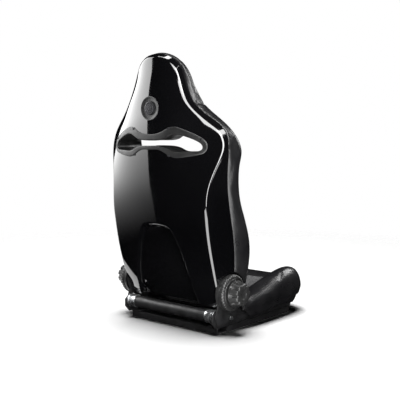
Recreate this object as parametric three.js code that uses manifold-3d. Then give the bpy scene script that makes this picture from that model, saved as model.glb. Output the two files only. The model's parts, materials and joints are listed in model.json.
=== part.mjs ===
// A reclining motorsport seat: a thin composite back shell, padded front, low padded cushion, a pair of
// round recliners worked by hand knobs, and a steel base that slides fore and aft on floor rails.
// Millimetres. +Z up, the seat faces -Y, and the occupant's left is +X. Shapes are laid out from the
// recline axis (y = 0) and the floor (z = 0); the whole group is then moved back by AXIS_Y.
import * as THREE from "three";
import { mergeVertices } from "three/addons/utils/BufferGeometryUtils.js";
import Module from "manifold-3d";

const wasm = await Module();
wasm.setup();

// Driving dimensions
const AXIS_Y = 173; // recline axis, behind the middle of the footprint
const AXIS_Z = 141; // recline axis above the floor
const SHELL_WALL = 4;
const CAVITY = 27; // room between shell and foam for the back frame
const FIT_GAP = 0.4; // between pieces that touch
const SEAM_GAP = 0.8; // between neighbouring foam blocks
const BACK_BOW = 2.3; // how late the back face turns forward towards its crease
const RECESS_DEPTH = 16; // relief for the rear cross tube when the back reclines
const BADGE = { z: 755, ring: 39, disc: 23, pocket: 4 };
const HUB_HOLE = 7.2;
const ARM = { inner: 189, outer: 193, radius: 36, top: 335, width: 34 };
const GEAR = { inner: 193.4, outer: 204.6, radius: 40, teeth: 30, toothDepth: 2 };
const FRAME = { inner: 200.6, outer: 204.6, rear: 74, front: -396, bottom: 22.8, top: 74 };
const BRACKET = { inner: 205, outer: 209, radius: 57 };
const COVER = { inner: 209.4, outer: 240, radius: 63, wall: 2.6, clearance: 2.6 };
const COVER_ROOM_INNER = 203; // where the space kept free round the covers begins
const KNOB = { inner: 241, shoulder: 249, outer: 280, radius: 46, tip: 38, flutes: 9, fluteRadius: 9 };
const ROD = { radius: 6, end: 262 };
const REAR_TUBE = { y: 46, z: 62, radius: 20.5, wall: 2.5, end: 200.2, collar: 24.5, collarInner: 164 };
const FRONT_TUBE = { y: -262, z: 47, radius: 12, wall: 2, end: 195.6 };
const HOOP = { radius: 10, x: 178, foot: 236, shoulder: 505, top: 566 };
const CROSS_TUBE = { radius: 7, z: 405, end: 166 };
const PAN = { top: 64, thickness: 3, rear: -44, front: -440, lipHeight: 3.8 };
const RAIL = { x: 181, width: 38, height: 20, wall: 2.4, slot: 14, rear: -14.4, front: -392 };
const SLIDER = { front: -300, rear: -100, web: 8, foot: 22, top: 22.8, plate: 4, flange: 60 };
const BRACE = { rear: 39, height: 22, wall: 2.5, end: 201 };
const BAR = { radius: 5, y: -300, z: 34, gripY: -455, gripZ: 20, x: 142, end: 171 };
const FRAME_BOLTS_Y = [-352, -20];
const RAIL_HOLES_Y = [-353, -53]; // floor bolts

// Guide curves on the occupant's left, from the bottom up to the middle of the top, as [x, y, z].
const SHELL_CREASE = [
  [200, 28, 84], [212, 56, 154], [216, 84, 240], [215, 105, 330], [215, 117, 420], [218, 114, 490],
  [236, 96, 560], [251, 80, 620], [234, 80, 675], [180, 100, 723], [127, 118, 780], [98, 116, 850],
  [64, 125, 905], [0, 135, 925],
];
const SHELL_EDGE = [
  [216, -20, 84], [226, -13, 154], [231, -13, 240], [232, -4, 330], [233, 16, 420], [239, 35, 490],
  [250, 50, 560], [262, 62, 622], [245, 62, 682], [189, 84, 732], [135, 102, 787], [105, 100, 857],
  [71, 110, 914], [0, 119, 935],
];
const PAD_RIM = [
  [234, -42, 116], [238, -50, 150], [241, -61, 215], [243, -65, 290], [243, -42, 370], [243, -14, 450], [253, 4, 520],
  [266, 13, 575], [276, 18, 622], [257, 38, 680], [205, 47, 729], [152, 78, 785], [121, 90, 855],
  [87, 105, 913], [0, 99, 942],
];
const PAD_PEAK = [
  [190, -84, 116], [194, -96, 150], [199, -112, 215], [200, -115, 290], [196, -92, 370], [192, -64, 450], [197, -42, 520],
  [207, -29, 575], [216, -20, 622], [204, 2, 672], [164, 22, 717], [117, 38, 772], [90, 48, 842],
  [61, 60, 897], [0, 72, 928],
];
// Middle of the back, outside of the shell, and middle of the padded front, as [z, y].
const SHELL_MIDDLE = [
  [84, 66], [104, 73], [154, 91], [240, 107], [330, 122], [420, 134], [490, 142], [560, 147], [620, 150], [700, 152],
  [780, 151], [850, 145], [905, 137], [925, 135],
];
const PAD_MIDDLE = [
  [116, -20], [150, -13], [215, 6], [290, 24], [370, 40], [450, 52], [520, 60], [600, 68], [690, 74], [760, 70],
  [850, 62], [928, 72],
];
// Cushion guide curves on the occupant's left, from the rear forward to the middle of the front.
const SEAT_SIDE = [
  [224, -40, 82], [232, -72, 84], [238, -115, 88], [243, -170, 94], [244, -240, 102], [244, -310, 110], [242, -370, 108],
  [233, -418, 98], [208, -458, 88], [150, -486, 82], [0, -500, 80],
];
const SEAT_PEAK = [
  [200, -40, 103], [204, -72, 107], [208, -115, 117], [211, -170, 132], [212, -240, 156], [213, -310, 174],
  [211, -362, 178], [204, -402, 168], [180, -436, 148], [128, -464, 127], [0, -478, 118],
];
const SEAT_HEM = [
  [222, -40, 52], [228, -72, 46], [233, -115, 38], [237, -170, 40], [238, -240, 46], [237, -310, 48], [232, -362, 38],
  [222, -400, 27], [198, -436, 24], [140, -462, 36], [0, -476, 50],
];
// Middle of the cushion top, as [-y, z].
const SEAT_MIDDLE = [[40, 97], [100, 93], [170, 92], [290, 104], [400, 118], [478, 118]];

// Outlines in the X-Z plane, occupant's left half, from the top middle round to the bottom middle.
const SLOT_HOLE = [
  [0, 648], [56, 650], [78, 663], [104, 672], [148, 660], [184, 645], [196, 631], [190, 616],
  [140, 614], [96, 613], [60, 630], [0, 632],
];
const SLOT_FLANGE = [
  [0, 669], [40, 672], [58, 687], [76, 697], [98, 697], [150, 680], [188, 662], [208, 645], [212, 628],
  [202, 608], [156, 598], [100, 590], [72, 603], [42, 619], [0, 618],
];
const RECESS = [[0, 369], [48, 365], [74, 345], [98, 286], [118, 212], [127, 166], [135, 99], [138, 40]];

// ---------------------------------------------------------------- shape helpers

function curve(points) {
  return new THREE.CatmullRomCurve3(points.map((p) => new THREE.Vector3(...p)), false, "centripetal");
}

// The value at position a of a smooth line through [position, value] pairs.
function smooth(pairs) {
  return (a) => {
    const last = pairs.length - 1;
    if (a <= pairs[0][0]) return pairs[0][1];
    if (a >= pairs[last][0]) return pairs[last][1];
    const i = pairs.findIndex((p) => p[0] > a) - 1;
    const slope = (k) => {
      const [p, q] = [pairs[Math.max(k - 1, 0)], pairs[Math.min(k + 1, last)]];
      return (q[1] - p[1]) / (q[0] - p[0]);
    };
    const span = pairs[i + 1][0] - pairs[i][0];
    const f = (a - pairs[i][0]) / span;
    const ease = f * f * (3 - 2 * f);
    return pairs[i][1] * (1 - ease) + pairs[i + 1][1] * ease
      + f * (1 - f) * span * ((1 - f) * slope(i) - f * slope(i + 1));
  };
}

function mirrored(p) {
  return new THREE.Vector3(-p.x, p.y, p.z);
}

// An open, disc-shaped surface: rows across the middle, then bands round the outside. rowPoint(t, s) and
// each band(t) run from t = 0 at the open end to t = 1 on the middle line; s goes from -1 to 1.
function skin(rowPoint, bands, steps, across) {
  const points = [];
  const triangles = [];
  const add = (p) => points.push(p) - 1;
  const strip = (a, b) => {
    for (let i = 0; i + 1 < a.length; i++) {
      triangles.push([a[i], b[i], b[i + 1]], [a[i], b[i + 1], a[i + 1]]);
    }
  };
  const rows = [];
  for (let i = 0; i < steps; i++) {
    const row = [];
    for (let j = 0; j <= across; j++) row.push(add(rowPoint(i / steps, (2 * j) / across - 1)));
    if (i) strip(row, rows[i - 1]);
    rows.push(row);
  }
  const apex = add(rowPoint(1, 0));
  const top = rows[steps - 1];
  for (let j = 0; j < across; j++) triangles.push([apex, top[j], top[j + 1]]);
  let loop = [...rows.map((r) => r[across]), apex, ...rows.map((r) => r[0]).reverse()];
  const loops = [loop];
  for (const band of bands) {
    const next = [];
    for (let i = 0; i <= steps; i++) next.push(add(band(i / steps)));
    for (let i = steps - 1; i >= 0; i--) next.push(add(mirrored(band(i / steps))));
    strip(loop, next);
    loops.push(next);
    loop = next;
  }
  const ends = loops.slice(0, -1);
  const boundary = [
    ...loop, ...ends.map((l) => l[l.length - 1]).reverse(), ...rows[0].slice(1, -1), ...ends.map((l) => l[0]),
  ];
  return { points, triangles, boundary };
}

// A closed solid between two skins of the same layout, the one further forward first.
function between(front, back) {
  const n = front.points.length;
  const triangles = [...front.triangles];
  for (const [a, b, c] of back.triangles) triangles.push([n + a, n + c, n + b]);
  front.boundary.forEach((a, i) => {
    const j = (i + 1) % front.boundary.length;
    const [b, c, d] = [front.boundary[j], n + back.boundary[i], n + back.boundary[j]];
    triangles.push([b, a, c], [b, c, d]);
  });
  const geometry = new THREE.BufferGeometry().setFromPoints([...front.points, ...back.points]);
  geometry.setIndex(triangles.flat());
  return solid(geometry);
}

// The same skin moved along its own normals.
function offsetSkin(source, distance) {
  const geometry = new THREE.BufferGeometry().setFromPoints(source.points);
  geometry.setIndex(source.triangles.flat());
  geometry.computeVertexNormals();
  const normals = geometry.getAttribute("normal");
  const points = source.points.map((p, i) =>
    p.clone().addScaledVector(new THREE.Vector3().fromBufferAttribute(normals, i), distance));
  points.forEach((p, i) => {
    if (Math.abs(source.points[i].x) < 1e-6) p.x = 0;
  });
  return { ...source, points };
}

// three.js geometry to a manifold-3d solid and back.
function solid(geometry) {
  const bare = geometry.clone();
  bare.deleteAttribute("normal");
  bare.deleteAttribute("uv");
  const merged = mergeVertices(bare, 1e-3);
  return new wasm.Manifold(new wasm.Mesh({
    numProp: 3,
    vertProperties: new Float32Array(merged.attributes.position.array),
    triVerts: new Uint32Array(merged.index.array),
  }));
}

function geometryOf(manifold) {
  const mesh = manifold.getMesh();
  const geometry = new THREE.BufferGeometry();
  geometry.setAttribute("position", new THREE.BufferAttribute(new Float32Array(mesh.vertProperties), 3));
  geometry.setIndex(new THREE.BufferAttribute(new Uint32Array(mesh.triVerts), 1));
  return geometry;
}

function box(x0, x1, y0, y1, z0, z1) {
  const geometry = new THREE.BoxGeometry(x1 - x0, y1 - y0, z1 - z0);
  return solid(geometry.translate((x0 + x1) / 2, (y0 + y1) / 2, (z0 + z1) / 2));
}

// A round bar along X.
function barX(radius, x0, x1, y, z, sides = 24) {
  const geometry = new THREE.CylinderGeometry(radius, radius, x1 - x0, sides).rotateZ(Math.PI / 2);
  return solid(geometry.translate((x0 + x1) / 2, y, z));
}

function shapeOf(points) {
  return new THREE.Shape(points.map(([x, y]) => new THREE.Vector2(x, y)));
}

// An outline in the X-Z plane, extruded along Y.
function prismY(outline, y0, y1) {
  const geometry = new THREE.ExtrudeGeometry(shapeOf(outline), { depth: y1 - y0, bevelEnabled: false });
  return solid(geometry.rotateX(Math.PI / 2).translate(0, y1, 0));
}

// An outline in the Y-Z plane, extruded along X.
function prismX(outline, x0, x1) {
  const geometry = new THREE.ExtrudeGeometry(shapeOf(outline), { depth: x1 - x0, bevelEnabled: false });
  const turn = new THREE.Matrix4().makeBasis(
    new THREE.Vector3(0, 1, 0), new THREE.Vector3(0, 0, 1), new THREE.Vector3(1, 0, 0));
  return solid(geometry.applyMatrix4(turn).translate(x0, 0, 0));
}

// A circle in the X-Z plane, as an outline.
function circle(x, z, radius, sides) {
  return Array.from({ length: sides }, (_, i) => {
    const a = (2 * Math.PI * i) / sides;
    return [x + radius * Math.cos(a), z + radius * Math.sin(a)];
  });
}

// A half outline, from top middle to bottom middle, made whole.
function wholeOutline(half) {
  const other = half.filter(([x]) => x > 0).map(([x, z]) => [-x, z]).reverse();
  return [...half, ...other].reverse();
}

// An outline grown outwards by a distance.
function grown(outline, distance) {
  const n = outline.length;
  return outline.map(([x, y], i) => {
    const [px, py] = outline[(i + n - 1) % n];
    const [qx, qy] = outline[(i + 1) % n];
    const a = new THREE.Vector2(x - px, y - py).normalize();
    const b = new THREE.Vector2(qx - x, qy - y).normalize();
    const normal = new THREE.Vector2(a.y + b.y, -a.x - b.x).normalize();
    const reach = distance / Math.max(0.5, normal.dot(new THREE.Vector2(a.y, -a.x)));
    return [x + normal.x * reach, y + normal.y * reach];
  });
}

// A round tube along a smooth path.
function tube(points, radius, steps, sides = 8, tension = "centripetal") {
  const ring = new THREE.Shape();
  ring.absarc(0, 0, radius, 0, 2 * Math.PI, false);
  const path = new THREE.CatmullRomCurve3(points.map((p) => new THREE.Vector3(...p)), false, tension);
  return new THREE.ExtrudeGeometry(ring, {
    steps, curveSegments: sides / 2, bevelEnabled: false, extrudePath: path,
  });
}

// ---------------------------------------------------------------- materials

function finish(color, roughness, metalness) {
  return new THREE.MeshStandardMaterial({ color, roughness, metalness });
}

const MATERIALS = {
  gloss_shell: finish(0x070708, 0.06, 0),
  satin_steel: finish(0x17181a, 0.4, 0.6),
  zinc_steel: finish(0x8c9094, 0.35, 0.9),
  matte_plastic: finish(0x1c1d1f, 0.55, 0),
  leather: finish(0x101012, 0.45, 0),
  insert_leather: finish(0x18181a, 0.6, 0),
};

const seat = new THREE.Group(); // everything, laid out about the recline axis
const racing = new THREE.Group();
racing.add(seat);

function place(name, shape, material) {
  const geometry = shape.isBufferGeometry ? shape : geometryOf(shape);
  const mesh = new THREE.Mesh(geometry, MATERIALS[material]);
  mesh.name = name;
  seat.add(mesh);
  return mesh;
}

// The same shape on both sides: built on the occupant's left and mirrored to the right.
function placePair(name, shape, material) {
  const left = place(name + "_left", shape, material);
  const right = left.clone();
  right.name = name + "_right";
  right.scale.x = -1;
  seat.add(right);
}

// ---------------------------------------------------------------- back shell

const shellMiddle = smooth(SHELL_MIDDLE);
const creaseX = smooth(SHELL_CREASE.map(([x, , z]) => [z, x]));
const creaseY = smooth(SHELL_CREASE.map(([, y, z]) => [z, y]));
const crease = curve(SHELL_CREASE);
const shellEdge = curve(SHELL_EDGE);
const SHELL_STEPS = 26;
const SHELL_ACROSS = 14;

function backRow(t, s) {
  const c = crease.getPoint(t);
  const middle = shellMiddle(c.z);
  return new THREE.Vector3(c.x * s, middle - (middle - c.y) * Math.abs(s) ** BACK_BOW, c.z);
}

// Where the outside of the back lies at a given x and z.
function backFace(x, z) {
  const middle = shellMiddle(z);
  return middle - (middle - creaseY(z)) * Math.abs(x / creaseX(z)) ** BACK_BOW;
}

// The shell's wall, thickened all round by a margin.
function shellSolid(margin) {
  const sideFace = (share, reach) => (t) => {
    const [a, b] = [crease.getPoint(t), shellEdge.getPoint(t)];
    return a.clone().lerp(b, share).addScaledVector(b.clone().sub(a).normalize(), reach);
  };
  const bands = [sideFace(0.5, 0), sideFace(1, margin)];
  const outside = skin(backRow, bands, SHELL_STEPS, SHELL_ACROSS);
  return between(offsetSkin(outside, SHELL_WALL + margin), offsetSkin(outside, -margin));
}

// The part of the back wall between two depths below its outside face, as one slab.
function backSlab(outer, inner) {
  const layer = (depth) => {
    const surface = skin(backRow, [], SHELL_STEPS, SHELL_ACROSS);
    surface.points.forEach((p) => {
      p.y -= depth;
    });
    return surface;
  };
  return between(layer(inner), layer(outer));
}

// An outline in the X-Z plane, carried right through the seat from front to back.
function through(outline) {
  return prismY(outline, -300, 300);
}

// A pocket in the back face: its walls and floor are added to the shell, and its inside is taken out.
function withPocket(shell, outline, depth) {
  const block = backSlab(0.5, depth + SHELL_WALL).intersect(through(grown(outline, SHELL_WALL)));
  const inside = backSlab(-30, depth).intersect(through(outline));
  return shell.add(block).subtract(inside);
}

const BOTTOM_EDGE = [[225, 84], [200, 90], [150, 93], [110, 104], [0, 106]];

function belowBottomEdge() {
  const left = BOTTOM_EDGE.slice(0, -1).map(([x, z]) => [-x, z]).reverse();
  return through([[-260, 20], [260, 20], [260, 84], ...BOTTOM_EDGE, ...left, [-260, 84]]);
}

const slotHole = wholeOutline(SLOT_HOLE);
const slotFlange = wholeOutline(SLOT_FLANGE);
const linerOutside = grown(slotHole, 4);
const linerClearance = through(grown(slotHole, 4.6));
const BEZEL_SCREWS = [[-80, 688], [80, 688], [-190, 655], [190, 655], [-80, 600], [80, 600]];
const screwHoles = BEZEL_SCREWS.map(([x, z]) => through(circle(x, z, 2.3, 8)));

// The space swept by the recliner covers, kept free by everything that tilts with the back.
function coverClearance() {
  const one = barX(COVER.radius + COVER.clearance, COVER_ROOM_INNER, 320, 0, AXIS_Z, 40);
  return one.add(one.mirror([1, 0, 0]));
}

function makeBackShell() {
  let shell = shellSolid(0);
  shell = withPocket(shell, wholeOutline(RECESS), RECESS_DEPTH);
  shell = withPocket(shell, circle(0, BADGE.z, BADGE.ring + 0.6, 28), BADGE.pocket);
  shell = shell.subtract(linerClearance).subtract(coverClearance()).subtract(belowBottomEdge());
  screwHoles.forEach((hole) => {
    shell = shell.subtract(hole);
  });
  return shell;
}

place("back_shell", makeBackShell(), "gloss_shell");
place("badge_ring", backSlab(0.5, 3.5).intersect(
  through(circle(0, BADGE.z, BADGE.ring, 28)).subtract(through(circle(0, BADGE.z, BADGE.disc + 3, 24)))),
"satin_steel");
place("badge_disc", backSlab(-1.5, 3.5).intersect(through(circle(0, BADGE.z, BADGE.disc, 24))), "gloss_shell");

// ---------------------------------------------------------------- foam back

const padMiddle = smooth(PAD_MIDDLE);
const peak = curve(PAD_PEAK);
const rim = curve(PAD_RIM);
const INSERT_SHARE = 0.5; // share of the width that lies flat between the bolsters
const PAD_ACROSS = 12;
// The foam starts two of the shell's steps above the shell's bottom edge.
const PAD_START = 2 / SHELL_STEPS;
const PAD_STEPS = SHELL_STEPS - 2;

function padToShell(t) {
  return PAD_START + (1 - PAD_START) * t;
}

function bolsterRise(s) {
  const f = Math.min(1, Math.max(0, (Math.abs(s) - INSERT_SHARE) / (1 - INSERT_SHARE)));
  return f * f * (3 - 2 * f);
}

function padRow(t, s) {
  const p = peak.getPoint(t);
  const middle = padMiddle(p.z);
  return new THREE.Vector3(p.x * s, middle + (p.y - middle) * bolsterRise(s), p.z);
}

// A quarter of an ellipse from a to b, bulging towards the corner.
function quarter(a, b, corner, f) {
  const turn = (f * Math.PI) / 2;
  const point = corner.clone();
  point.addScaledVector(a.clone().sub(corner), 1 - Math.sin(turn));
  return point.addScaledVector(b.clone().sub(corner), 1 - Math.cos(turn));
}

function padEdge(t) {
  const p = shellEdge.getPoint(padToShell(t));
  return new THREE.Vector3(p.x, p.y - SEAM_GAP, p.z);
}

function padFront() {
  const towardsRim = (f) => (t) => {
    const [a, b] = [peak.getPoint(t), rim.getPoint(t)];
    return quarter(a, b, new THREE.Vector3(b.x, a.y, b.z), f);
  };
  const towardsEdge = (f) => (t) => {
    const [a, b] = [rim.getPoint(t), padEdge(t)];
    const bulge = new THREE.Vector3(a.x, b.y, (a.z + b.z) / 2);
    return a.clone().lerp(b, f).lerp(bulge, 0.5 * f * (1 - f));
  };
  const bands = [0.45, 1].map(towardsRim).concat(towardsEdge(1));
  return skin(padRow, bands, PAD_STEPS, PAD_ACROSS);
}

const CREASE_INSET = 9;
const EDGE_INSET = 6;
const TOP_INSET = 18; // how far the back of the foam drops short of the shell at the very top

function padBack() {
  const narrowing = (x, inset) => 1 - inset / Math.max(x, 2 * inset);
  const row = (t, s) => {
    const p = backRow(padToShell(t), s);
    const share = narrowing(crease.getPoint(padToShell(t)).x, CREASE_INSET);
    return new THREE.Vector3(p.x * share, p.y - SHELL_WALL - CAVITY, p.z - TOP_INSET * (1 - share));
  };
  const inside = (f) => (t) => {
    const edge = padEdge(t);
    edge.x *= narrowing(edge.x, EDGE_INSET);
    edge.z -= EDGE_INSET * smoothStep(0.8, 1, t);
    return row(t, 1).lerp(edge, f);
  };
  return skin(row, [0.33, 0.67, 1].map(inside), PAD_STEPS, PAD_ACROSS);
}

function smoothStep(low, high, a) {
  const f = Math.min(1, Math.max(0, (a - low) / (high - low)));
  return f * f * (3 - 2 * f);
}

// The recline arms and gear discs stand in slots in the foam.
function armClearance() {
  const slot = box(ARM.inner - 1, ARM.outer + 1, -40, 200, 100, ARM.top + 2);
  const disc = barX(GEAR.radius + 1.5, ARM.inner - 1, GEAR.outer + 1, 0, AXIS_Z, 32);
  const one = slot.add(disc);
  return one.add(one.mirror([1, 0, 0]));
}

const PAD_SPLIT = { insert: 106, slot: 640, head: 767 };
// The foam's lower end rises towards the front of the bolsters, to pass over the cushion.
function bolsterUnderside() {
  const one = prismX([[-20, 0], [-20, 117], [-200, 187], [-200, 0]].reverse(), PAD_SPLIT.insert, 400);
  return one.add(one.mirror([1, 0, 0]));
}

const rodRoom = barX(ROD.radius + 2, -300, 300, 0, AXIS_Z, 16);
const wholePad = between(padFront(), padBack()).subtract(shellSolid(SEAM_GAP)).subtract(bolsterUnderside())
  .subtract(rodRoom).subtract(linerClearance).subtract(coverClearance()).subtract(armClearance());

function padBetween(x0, x1, z0, z1) {
  const trim = SEAM_GAP / 2;
  return wholePad.intersect(box(x0 + trim, x1 - trim, -300, 300, z0 + trim, z1 - trim));
}

function makeHeadrest() {
  const neck = padBetween(-PAD_SPLIT.insert, PAD_SPLIT.insert, PAD_SPLIT.slot, PAD_SPLIT.head + 10);
  return padBetween(-400, 400, PAD_SPLIT.head, 1100).add(neck);
}

place("back_pad_centre", padBetween(-PAD_SPLIT.insert, PAD_SPLIT.insert, 0, PAD_SPLIT.slot), "insert_leather");
for (const [side, x0, x1] of [["left", PAD_SPLIT.insert, 400], ["right", -400, -PAD_SPLIT.insert]]) {
  place("back_bolster_" + side, padBetween(x0, x1, 0, PAD_SPLIT.head), "leather");
}
place("headrest_pad", makeHeadrest(), "leather");

// ---------------------------------------------------------------- harness slot trim

// The foam's face, moved forward by a distance, closed off far behind or far in front.
function faceSlab(front, back) {
  const layer = (lift) => {
    const surface = skin(padRow, [], PAD_STEPS, PAD_ACROSS);
    surface.points.forEach((p) => {
      p.y -= lift;
    });
    return surface;
  };
  return between(layer(front), layer(back));
}

function makeBezelRear() {
  let bezel = backSlab(-2.6, -FIT_GAP).intersect(through(slotFlange)).subtract(through(slotHole));
  screwHoles.forEach((hole) => {
    bezel = bezel.subtract(hole);
  });
  return bezel;
}

function makeBezelFront() {
  const ring = through(grown(slotHole, 11)).subtract(through(slotHole));
  return faceSlab(2.4, FIT_GAP).intersect(ring);
}

function makeLiner() {
  const ring = through(linerOutside).subtract(through(grown(slotHole, 1)));
  return ring.subtract(backSlab(-200, 0)).subtract(faceSlab(300, 0)).decompose()
    .reduce((a, b) => (a.volume() > b.volume() ? a : b));
}

function makeBezelScrew([x, z]) {
  const head = backSlab(-4.6, -2.9).intersect(through(circle(x, z, 4.2, 12)));
  const shank = backSlab(-3.2, 9).intersect(through(circle(x, z, 1.9, 8)));
  return head.add(shank);
}

place("slot_bezel_rear", makeBezelRear(), "matte_plastic");
place("slot_bezel_front", makeBezelFront(), "matte_plastic");
place("slot_liner", makeLiner(), "matte_plastic");
BEZEL_SCREWS.forEach((at, i) => {
  place("bezel_screw_" + (i + 1), makeBezelScrew(at), "zinc_steel");
});

// ---------------------------------------------------------------- back frame and recliner arms

function cavityPoint(x, z) {
  return [x, backFace(x, z) - SHELL_WALL - CAVITY / 2, z];
}

function makeHoop() {
  const side = [HOOP.foot, 300, 370, 440, HOOP.shoulder].map((z) => cavityPoint(HOOP.x, z));
  const half = [...side, cavityPoint(150, HOOP.top - 12), cavityPoint(100, HOOP.top), cavityPoint(50, HOOP.top)];
  const other = half.map(([x, y, z]) => [-x, y, z]).reverse();
  return tube([...half, cavityPoint(0, HOOP.top), ...other], HOOP.radius, 34);
}

place("backrest_frame", makeHoop(), "satin_steel");
place("frame_cross_tube", barX(
  CROSS_TUBE.radius, -CROSS_TUBE.end, CROSS_TUBE.end, cavityPoint(130, CROSS_TUBE.z)[1], CROSS_TUBE.z, 12),
"satin_steel");

function hubHole(x0, x1) {
  return barX(HUB_HOLE, x0 - 1, x1 + 1, 0, AXIS_Z, 20);
}

function makeArm() {
  const half = ARM.width / 2;
  const rear = [HOOP.foot - 36, HOOP.foot, ARM.top].map((z) => [cavityPoint(ARM.outer, z)[1] + 8, z]);
  const [, foot, top] = rear;
  const bar = prismX([
    [-half, AXIS_Z], [half, AXIS_Z - 10], ...rear, [top[0] - half, top[1]], [foot[0] - half, foot[1] + 10],
  ], ARM.inner, ARM.outer);
  return bar.add(barX(ARM.radius, ARM.inner, ARM.outer, 0, AXIS_Z, 32)).subtract(hubHole(ARM.inner, ARM.outer));
}

// A disc with teeth round it, as [y, z] about the recline axis.
function toothedOutline(radius, depth, teeth) {
  const points = [];
  for (let i = 0; i < teeth * 2; i++) {
    const a = (i * Math.PI) / teeth;
    const r = radius - (i % 2) * depth;
    points.push([r * Math.cos(a), AXIS_Z + r * Math.sin(a)]);
  }
  return points;
}

function makeGear() {
  const disc = prismX(toothedOutline(GEAR.radius, GEAR.toothDepth, GEAR.teeth), GEAR.inner, GEAR.outer);
  return disc.subtract(hubHole(GEAR.inner, GEAR.outer));
}

placePair("recliner_arm", makeArm(), "satin_steel");
placePair("recliner_gear", makeGear(), "zinc_steel");

// ---------------------------------------------------------------- recliner bracket, cover and knob

// A solid turned about the recline axis, from a [radius, x] profile that starts on the axis or closes.
function turned(profile, sides) {
  const closed = profile[0][0] > 0 ? [...profile, profile[0]] : profile;
  const points = closed.map(([r, x]) => new THREE.Vector2(r, x)).reverse();
  const geometry = new THREE.LatheGeometry(points, sides);
  return solid(geometry.rotateZ(-Math.PI / 2).translate(0, 0, AXIS_Z));
}

function makeBracket() {
  const disc = barX(BRACKET.radius, BRACKET.inner, BRACKET.outer, 0, AXIS_Z, 36);
  const leg = prismX([
    [-BRACKET.radius, AXIS_Z], [-58, 74], [-58, 36], [50, 30], [62, 60], [BRACKET.radius * 0.8, AXIS_Z - 34],
    [BRACKET.radius, AXIS_Z],
  ].reverse(), BRACKET.inner, BRACKET.outer);
  return disc.add(leg).subtract(hubHole(BRACKET.inner, BRACKET.outer)).subtract(boltHole(FRAME_BOLTS_Y[1]));
}

function boltHole(y) {
  return barX(4.4, 180, 230, y, 48, 12);
}

const COVER_HOLE = 10;
function makeCover() {
  const { inner, outer, radius, wall } = COVER;
  return turned([
    [COVER_HOLE, outer], [radius - 9, outer], [radius - 3, outer - 3], [radius, outer - 9], [radius, inner],
    [radius - wall, inner], [radius - wall, outer - 10], [radius - 10, outer - wall], [COVER_HOLE, outer - wall],
  ], 32);
}

function makeKnob() {
  const { inner, shoulder, outer, radius, tip, flutes, fluteRadius } = KNOB;
  const bore = ROD.radius + FIT_GAP;
  let knob = turned([
    [0, outer], [tip - 6, outer], [tip, outer - 6], [radius, shoulder + 2], [radius, shoulder - 3],
    [radius - 5, inner], [bore, inner], [bore, ROD.end + FIT_GAP], [0, ROD.end + FIT_GAP],
  ], 36);
  for (let i = 0; i < flutes; i++) {
    const a = (2 * Math.PI * i) / flutes;
    const reach = tip + fluteRadius - 1;
    const flute = barX(fluteRadius, shoulder + 4, outer - 4, reach * Math.cos(a), AXIS_Z + reach * Math.sin(a), 14);
    knob = knob.subtract(flute);
  }
  return knob;
}

placePair("recliner_bracket", makeBracket(), "satin_steel");
placePair("recliner_cover", makeCover(), "matte_plastic");
placePair("recliner_knob", makeKnob(), "matte_plastic");
place("recliner_sync_rod", barX(ROD.radius, -ROD.end, ROD.end, 0, AXIS_Z, 16), "zinc_steel");

// ---------------------------------------------------------------- seat base

function makeSideFrame() {
  const { inner, outer, rear, front, bottom, top } = FRAME;
  const plate = prismX([
    [rear, 44], [rear, 70], [rear - 14, 80], [20, 77], [-20, top], [front + 30, top], [front, top - 22],
    [front, bottom + 4], [front + 6, bottom], [rear - 20, bottom],
  ], inner, outer);
  const spigot = barX(REAR_TUBE.radius - REAR_TUBE.wall - 6, inner - 1, outer + 1, REAR_TUBE.y, REAR_TUBE.z, 20);
  return FRAME_BOLTS_Y.reduce((frame, y) => frame.subtract(boltHole(y)), plate.subtract(spigot));
}

// An open tube along X between the side frames.
function makeCrossTube({ y, z, radius, wall, end }) {
  return barX(radius, -end, end, y, z, 28).subtract(barX(radius - wall, -end - 1, end + 1, y, z, 28));
}

function makeCollar() {
  const { y, z, radius, collar, collarInner } = REAR_TUBE;
  const sleeve = barX(collar, collarInner, FRAME.inner - FIT_GAP, y, z, 28);
  return sleeve.subtract(barX(radius + FIT_GAP, 0, 300, y, z, 28));
}

function makeSeatPan() {
  const { top, thickness, rear, front, lipHeight } = PAN;
  const half = FRAME.inner - FIT_GAP;
  const lip = top - lipHeight;
  return prismX([
    [rear, lip], [rear, top], [front, top], [front, lip], [front + thickness, lip],
    [front + thickness, top - thickness], [rear - thickness, top - thickness], [rear - thickness, lip],
  ], -half, half);
}

function makeUpperRail() {
  const { front, rear, web, foot, top, plate, flange } = SLIDER;
  const outerFace = FRAME.inner - FIT_GAP;
  const inside = RAIL.wall + FIT_GAP + 0.6;
  const runner = box(RAIL.x - foot / 2, RAIL.x + foot / 2, front, rear, inside, inside + 4);
  const stem = box(RAIL.x - web / 2, RAIL.x + web / 2, front, rear, inside, top + plate);
  const deck = box(162, outerFace, FRAME.front + 16, 44, top, top + plate);
  const wall = box(outerFace - plate, outerFace, FRAME.front + 16, 44, top, flange);
  const ear = box(162, 165, BAR.y - 11, BAR.y + 11, top, BAR.z + 11);
  const rail = runner.add(stem).add(deck).add(wall).add(ear);
  const pivot = barX(BAR.radius + FIT_GAP, 150, 180, BAR.y, BAR.z, 16);
  const tubeRoom = barX(REAR_TUBE.collar + 2, 0, 300, REAR_TUBE.y, REAR_TUBE.z, 28);
  return FRAME_BOLTS_Y.reduce((r, y) => r.subtract(boltHole(y)), rail.subtract(pivot).subtract(tubeRoom));
}

// A hex-headed bolt along X through frame and upper rail, with its nut inside.
function makeFrameBolt(y) {
  const outside = (y > -72 ? BRACKET.outer : FRAME.outer) + FIT_GAP;
  const inside = FRAME.inner - FIT_GAP - SLIDER.plate - FIT_GAP;
  const shank = barX(4, inside - 7, outside + 1, y, 48, 12);
  const head = barX(8, outside, outside + 5.3, y, 48, 6);
  const nut = barX(8, inside - 6.5, inside, y, 48, 6);
  return shank.add(head).add(nut);
}

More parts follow.
